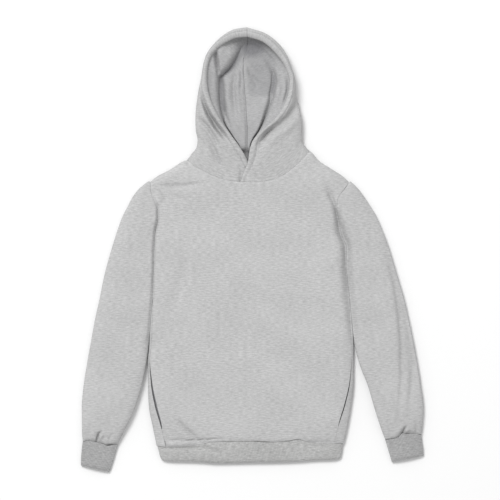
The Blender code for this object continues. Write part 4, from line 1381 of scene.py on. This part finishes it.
def lining_painted_shade(points):
    """Painted shade on the lining, by place: 1 in the hollow under the crown, less beside the middle seam."""
    x, y, z = np.moveaxis(points, -1, 0)
    deepest = 1.25 * hump(x / 34.0) * hump((y - 462.0) / 22.0)
    for path, dark, reach in LINING_SHADES:
        deepest = np.maximum(deepest, dark * hump(path_distance(x, y, path)[0] / reach))
    # Painted shade beside the middle seam, on the wearer's left of it
    seam_side_shade = 0.34 * ease((x + 12.0) / 14.0) * ease((60.0 - x) / 16.0)
    seam_side_shade = seam_side_shade * ease((y - 348.0) / 10.0) * ease((462.0 - y) / 16.0)
    return np.clip(np.maximum(deepest, seam_side_shade) * ease((22.0 - z) / 8.0), 0.0, 1.0)


def follow_outer(sizes, side, rows):
    """The lining where the hood is closed: under the outer side, then flat to the middle seam."""
    outer, first_top, _ = hood_outer_points(sizes, side)
    inward = INWARD[side]
    drop = 2.0 * sizes.wall / MM + 1.2
    top = outer[:, first_top:][:, ::-1]
    under = []
    for share in (0.0, 0.13, 0.26, 0.5, 0.78):
        x, y, z = np.moveaxis(top[:, round(share * (top.shape[1] - 1))], -1, 0)
        pull = drop * (1.0 - np.clip(np.abs(x - rows.side_x[:, 0]) / 60.0, 0.0, 1.0))
        under.append(stack(x + inward * pull, y, np.maximum(z - drop, LINING_Z)))
    x, y = rows.side_x[:, 0], rows.side_y[:, 0]
    under.append(stack(x + inward * (drop + 1.0), y, np.maximum(rows.side_z[:, 0], LINING_Z + 4.0)))
    start = x + inward * (drop + 11.0)
    for share in (0.0, 0.5, 1.0):
        floor_x, floor_y = lerp(start, rows.back_x[:, 0], share), lerp(y, rows.back_y[:, 0], share)
        under.append(stack(floor_x, floor_y, LINING_Z))
    return refine_columns(np.stack(under, axis=1), LINING_STOPS[0])


def lining_points(sizes, side):
    rows, _ = hood_rows(HOODS[side], sizes.mesh_step / MM * HOOD_STEP)
    s = even(LINING_STOPS[1])
    rim_z = rows.rim_z - sizes.wall / MM - 0.5
    crown_y, crown_reach = (436.0, 36.0) if side == "right" else (384.0, 60.0)
    high = ease((rows.rim_y - crown_y) / crown_reach) * (1.0 - rows.shelf)
    tucked = lerp(3.0, 14.0, high) * np.sin(np.pi * np.clip(s / 0.45, 0.0, 1.0))
    along = s - tucked / np.hypot(rows.foot_x - rows.rim_x, rows.foot_y - rows.rim_y)
    edge = 1.0 - np.exp(-s / 0.05)
    open_wall = 1.0 - 0.16 * edge - 0.34 * s - 0.5 * s ** 5
    shelf_wall = 1.0 - 0.1 * edge - 0.12 * s - 0.78 * s ** 7
    fall = lerp(lerp(open_wall, shelf_wall, rows.shelf), (1.0 - s) ** 2.6, high)
    wall = stack(*between(rows, "rim", "foot", along), lerp(LINING_Z, rim_z, fall))
    x, y = between(rows, "foot", "back", even(LINING_STOPS[2])[:, 1:] ** 1.3)
    floor = stack(x, y, LINING_Z + lining_swell(rows, x, y))
    direct = np.concatenate([wall, floor], axis=1)
    points = lerp(follow_outer(sizes, side, rows), direct, rows.opening[..., None])
    x, y, z = np.moveaxis(points, -1, 0)
    inside = ease(arc_lengths(points, 1) / 6.0) * ease(rows.opening * 1.5)
    z = z + inside * folded(x, y, LINING_FOLDS, sizes.crease)
    z = z + inside * np.abs(unevenness(1.7 * x, 1.7 * y)) * 2.0 * sizes.ripple / MM
    return stack(x, y, np.maximum(z, LINING_Z - 1.2 * rows.opening))


def make_lining(sizes, colours, side):
    points = lining_points(sizes, side)
    draw_back(points, 2.0 * SEAM_GAP, "start", "end", "last")
    # The lining gets painted shade in the hood's hollow and creases
    piece = lay_sheet("lining_" + side + "_cloth", points, cloth_uv(points), lining_painted_shade(points))
    material = fleece("lining_fleece_" + side, colours.lining, colours.marl, shaded=0.5)
    finish_sheet(piece, sizes.wall, material, flip=side == "left")
    seat(piece, "hood_lining_" + side)
    "hood_" + side + "_cloth"


def stitch_path(sizes, side):
    """Places and directions of the stitches along the groove behind the hood's rim."""
    points, to_rim, upper = shaped_hood(sizes, side)
    column_of = np.argmin(np.abs(to_rim - hem_depth(points[..., 1])) + 100.0 * (upper < 0.5), axis=1)
    line = points[np.arange(len(points)), column_of][6:-2]
    lengths = running(np.linalg.norm(np.diff(line, axis=0), axis=1))
    pitch = sizes.stitch / MM * STITCH_PITCH
    stops = np.arange(pitch, lengths[-1] - pitch, pitch)
    middle = smooth_read(lengths, line, stops)
    ahead = smooth_read(lengths, line, stops + 0.5) - smooth_read(lengths, line, stops - 0.5)
    return middle, ahead / np.linalg.norm(ahead, axis=1, keepdims=True)


def make_stitches(sizes, colours, side, hood):
    """One stitch, shaped from a cube, copied along the groove."""
    deselect()
    bpy.ops.mesh.primitive_cube_add(size=1.0)
    stitch = bpy.context.active_object
    stitch.scale = (sizes.stitch, STITCH_WIDTH, STITCH_HEIGHT)
    bpy.ops.object.transform_apply(location=False, rotation=False, scale=True)
    bpy.ops.object.mode_set(mode="EDIT")
    bpy.ops.mesh.select_all(action="SELECT")
    bpy.ops.mesh.bevel(offset=STITCH_BEVEL, segments=1, affect="EDGES")
    bpy.ops.object.mode_set(mode="OBJECT")
    one = np.array([vert.co for vert in stitch.data.vertices])
    faces = [tuple(face.vertices) for face in stitch.data.polygons]
    bpy.data.objects.remove(stitch, do_unlink=True)
    middle, ahead = stitch_path(sizes, side)
    verts, all_faces = [], []
    for place, way in zip(middle, ahead):
        across = np.cross((0.0, 0.0, 1.0), way)
        across /= np.linalg.norm(across)
        turned = one @ np.array([way, across, np.cross(way, across)])
        all_faces += [tuple(k + len(verts) for k in face) for face in faces]
        verts += list(turned + (place - CENTRE) * MM + (0.0, 0.0, STITCH_LIFT))
    mesh = bpy.data.meshes.new("hood_stitches_" + side)
    mesh.from_pydata(verts, [], all_faces)
    mesh.update()
    piece = bpy.data.objects.new("hood_stitches_" + side, mesh)
    bpy.context.scene.collection.objects.link(piece)
    piece.data.materials.append(thread("thread_" + side, colours.thread))
    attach(piece, "root")


# ---------------------------------------------------------------- pockets

def pocket_points(sizes, side):
    """A flat bag behind the mouth in the side seam, between the front and the back."""
    inward = INWARD[side]
    keys = column(POCKET, "y")[::-1]
    y = np.linspace(keys[0], keys[-1], POCKET_STOPS[0])
    depth = smooth_read(keys, column(POCKET, "depth")[::-1], y)
    seam = body_line(side + "_seam", y)
    near = seam + inward * 5.0
    middle = POCKET_Z
    below_mouth = ease((POCKET_FOOT - y) / 10.0)
    under = lerp(top_height(sizes, near, y) - sizes.wall / MM - 1.4, middle + 3.5, below_mouth)
    bend = seam + inward * np.minimum(16.0, 0.5 * depth)
    tip = seam + inward * depth
    far = tip - inward * 6.0
    edge = body_line(side + "_edge", y) + inward * 4.4
    stations = [(near, under), (bend, middle + 3.5), (far, middle + 2.5), (tip, middle),
                (far, middle - 2.5), (bend, middle - 3.5), (edge, middle - 1.0)]
    return refine_columns(np.stack([stack(x, y, z) for x, z in stations], axis=1), POCKET_STOPS[1])


def make_pocket(sizes, colours, side):
    points = pocket_points(sizes, side)
    piece = lay_sheet("pocket_" + side + "_cloth", points, cloth_uv(points))
    material = fleece("pocket_cloth_" + side, colours.pocketing, 0.5 * colours.marl, 0.1)
    finish_sheet(piece, sizes.pocketing, material, flip=side == "left")
    seat(piece, "pocket_bag_" + side)


# ---------------------------------------------------------------- stage

FLOOR_SIZE = 30.0
FLOOR_Z = -0.0004
KEY_SIZE = 4.2
KEY_PLACE = (-3.0, 4.8, 7.8)
CAMERA_PLACE = (-0.0050, -0.0004)
FAR_CLIP = 100.0
WHITE = (1.0, 1.0, 1.0, 1.0)


def make_floor(stage):
    deselect()
    bpy.ops.mesh.primitive_plane_add(size=FLOOR_SIZE, location=(0.0, 0.0, FLOOR_Z))
    floor = bpy.context.active_object
    floor.name = "floor"
    finish = Finish("floor_paper")
    place = finish.node("ShaderNodeTexCoord", output=3)
    grain = finish.noise(place, 240.0, 240.0)
    finish.set(Base_Color=finish.blend(grain, shade_of(stage.floor, 0.995), shade_of(stage.floor, 1.005)),
               Roughness=0.8, Specular_IOR_Level=0.1)
    floor.data.materials.append(finish.material)


def make_key_light(stage):
    """One large round light, turned to the middle of the garment."""
    light = bpy.data.lights.new("key", "AREA")
    light.energy = stage.key
    light.shape = "DISK"
    light.size = KEY_SIZE
    lamp = bpy.data.objects.new("key", light)
    bpy.context.scene.collection.objects.link(lamp)
    lamp.location = KEY_PLACE
    lamp.rotation_euler = Vector([-part for part in KEY_PLACE]).to_track_quat("-Z", "Y").to_euler()


def make_sky(stage):
    world = bpy.data.worlds.new("studio")
    bpy.context.scene.world = world
    world.use_nodes = True
    background = world.node_tree.nodes["Background"]
    background.inputs["Color"].default_value = WHITE
    background.inputs["Strength"].default_value = stage.sky


def make_camera(stage):
    data = bpy.data.cameras.new("camera")
    camera = bpy.data.objects.new("camera", data)
    bpy.context.scene.collection.objects.link(camera)
    data.lens = stage.lens
    distance = stage.width * stage.lens / data.sensor_width
    camera.location = (*CAMERA_PLACE, distance)
    data.clip_end = FAR_CLIP
    bpy.context.scene.camera = camera


# ---------------------------------------------------------------- operators

def settings(context):
    return context.scene.hoodie_sizes, context.scene.hoodie_colours


class HOODIE_OT_back(bpy.types.Operator):
    """Make the back, which lies on the surface"""
    bl_idname = "hoodie.back"
    bl_label = "Back"

    def execute(self, context):
        make_back(*settings(context))
        return {"FINISHED"}


class HOODIE_OT_front(bpy.types.Operator):
    """Make the front, with its creases"""
    bl_idname = "hoodie.front"
    bl_label = "Front"

    def execute(self, context):
        make_front(*settings(context))
        return {"FINISHED"}


class HOODIE_OT_sleeves(bpy.types.Operator):
    """Make both sleeves"""
    bl_idname = "hoodie.sleeves"
    bl_label = "Sleeves"

    def execute(self, context):
        for side in INWARD:
            make_sleeve(*settings(context), side)
        return {"FINISHED"}


class HOODIE_OT_cuffs(bpy.types.Operator):
    """Make both ribbed cuffs"""
    bl_idname = "hoodie.cuffs"
    bl_label = "Cuffs"

    def execute(self, context):
        for side in INWARD:
            make_cuff(*settings(context), side)
        return {"FINISHED"}


class HOODIE_OT_hem_band(bpy.types.Operator):
    """Make the ribbed hem band"""
    bl_idname = "hoodie.hem_band"
    bl_label = "Hem band"

    def execute(self, context):
        make_band(*settings(context))
        return {"FINISHED"}


class HOODIE_OT_hood(bpy.types.Operator):
    """Make the outer hood, its lining and the stitches of its hem"""
    bl_idname = "hoodie.hood"
    bl_label = "Hood"

    def execute(self, context):
        for side in INWARD:
            hood = make_hood_outer(*settings(context), side)
            make_lining(*settings(context), side)
            make_stitches(*settings(context), side, hood)
        return {"FINISHED"}


class HOODIE_OT_pockets(bpy.types.Operator):
    """Make the pocket bags behind the side seams"""
    bl_idname = "hoodie.pockets"
    bl_label = "Pockets"

    def execute(self, context):
        for side in INWARD:
            make_pocket(*settings(context), side)
        return {"FINISHED"}


class HOODIE_OT_stage(bpy.types.Operator):
    """Make the floor, the light and the camera"""
    bl_idname = "hoodie.stage"
    bl_label = "Stage"

    def execute(self, context):
        stage = context.scene.hoodie_stage
        make_floor(stage)
        make_sky(stage)
        make_key_light(stage)
        make_camera(stage)
        context.scene.view_settings.view_transform = "Standard"
        return {"FINISHED"}


class HOODIE_PT_panel(bpy.types.Panel):
    """Lists the hoodie's sizes, colours and pieces"""
    bl_idname = "HOODIE_PT_panel"
    bl_label = "Hoodie"
    bl_space_type = "VIEW_3D"
    bl_region_type = "UI"
    bl_category = "Hoodie"

    def draw(self, context):
        for group in (context.scene.hoodie_sizes, context.scene.hoodie_colours, context.scene.hoodie_stage):
            box = self.layout.box()
            for name in group.__annotations__:
                box.prop(group, name)
        for operator in OPERATORS:
            self.layout.operator(operator.bl_idname)


GROUPS = {"hoodie_sizes": HoodieSizes, "hoodie_colours": HoodieColours, "hoodie_stage": HoodieStage}
OPERATORS = (
    HOODIE_OT_back, HOODIE_OT_front, HOODIE_OT_pockets, HOODIE_OT_sleeves, HOODIE_OT_cuffs,
    HOODIE_OT_hem_band, HOODIE_OT_hood, HOODIE_OT_stage,
)


def register():
    for kind in (*GROUPS.values(), *OPERATORS, HOODIE_PT_panel):
        bpy.utils.register_class(kind)
    for name, kind in GROUPS.items():
        setattr(bpy.types.Scene, name, bpy.props.PointerProperty(type=kind))


def unregister():
    for name in GROUPS:
        delattr(bpy.types.Scene, name)
    for kind in reversed((*GROUPS.values(), *OPERATORS, HOODIE_PT_panel)):
        bpy.utils.unregister_class(kind)


def main():
    register()
    for operator in OPERATORS:
        family, name = operator.bl_idname.split(".")
        getattr(getattr(bpy.ops, family), name)()


if __name__ == "__main__":
    main()
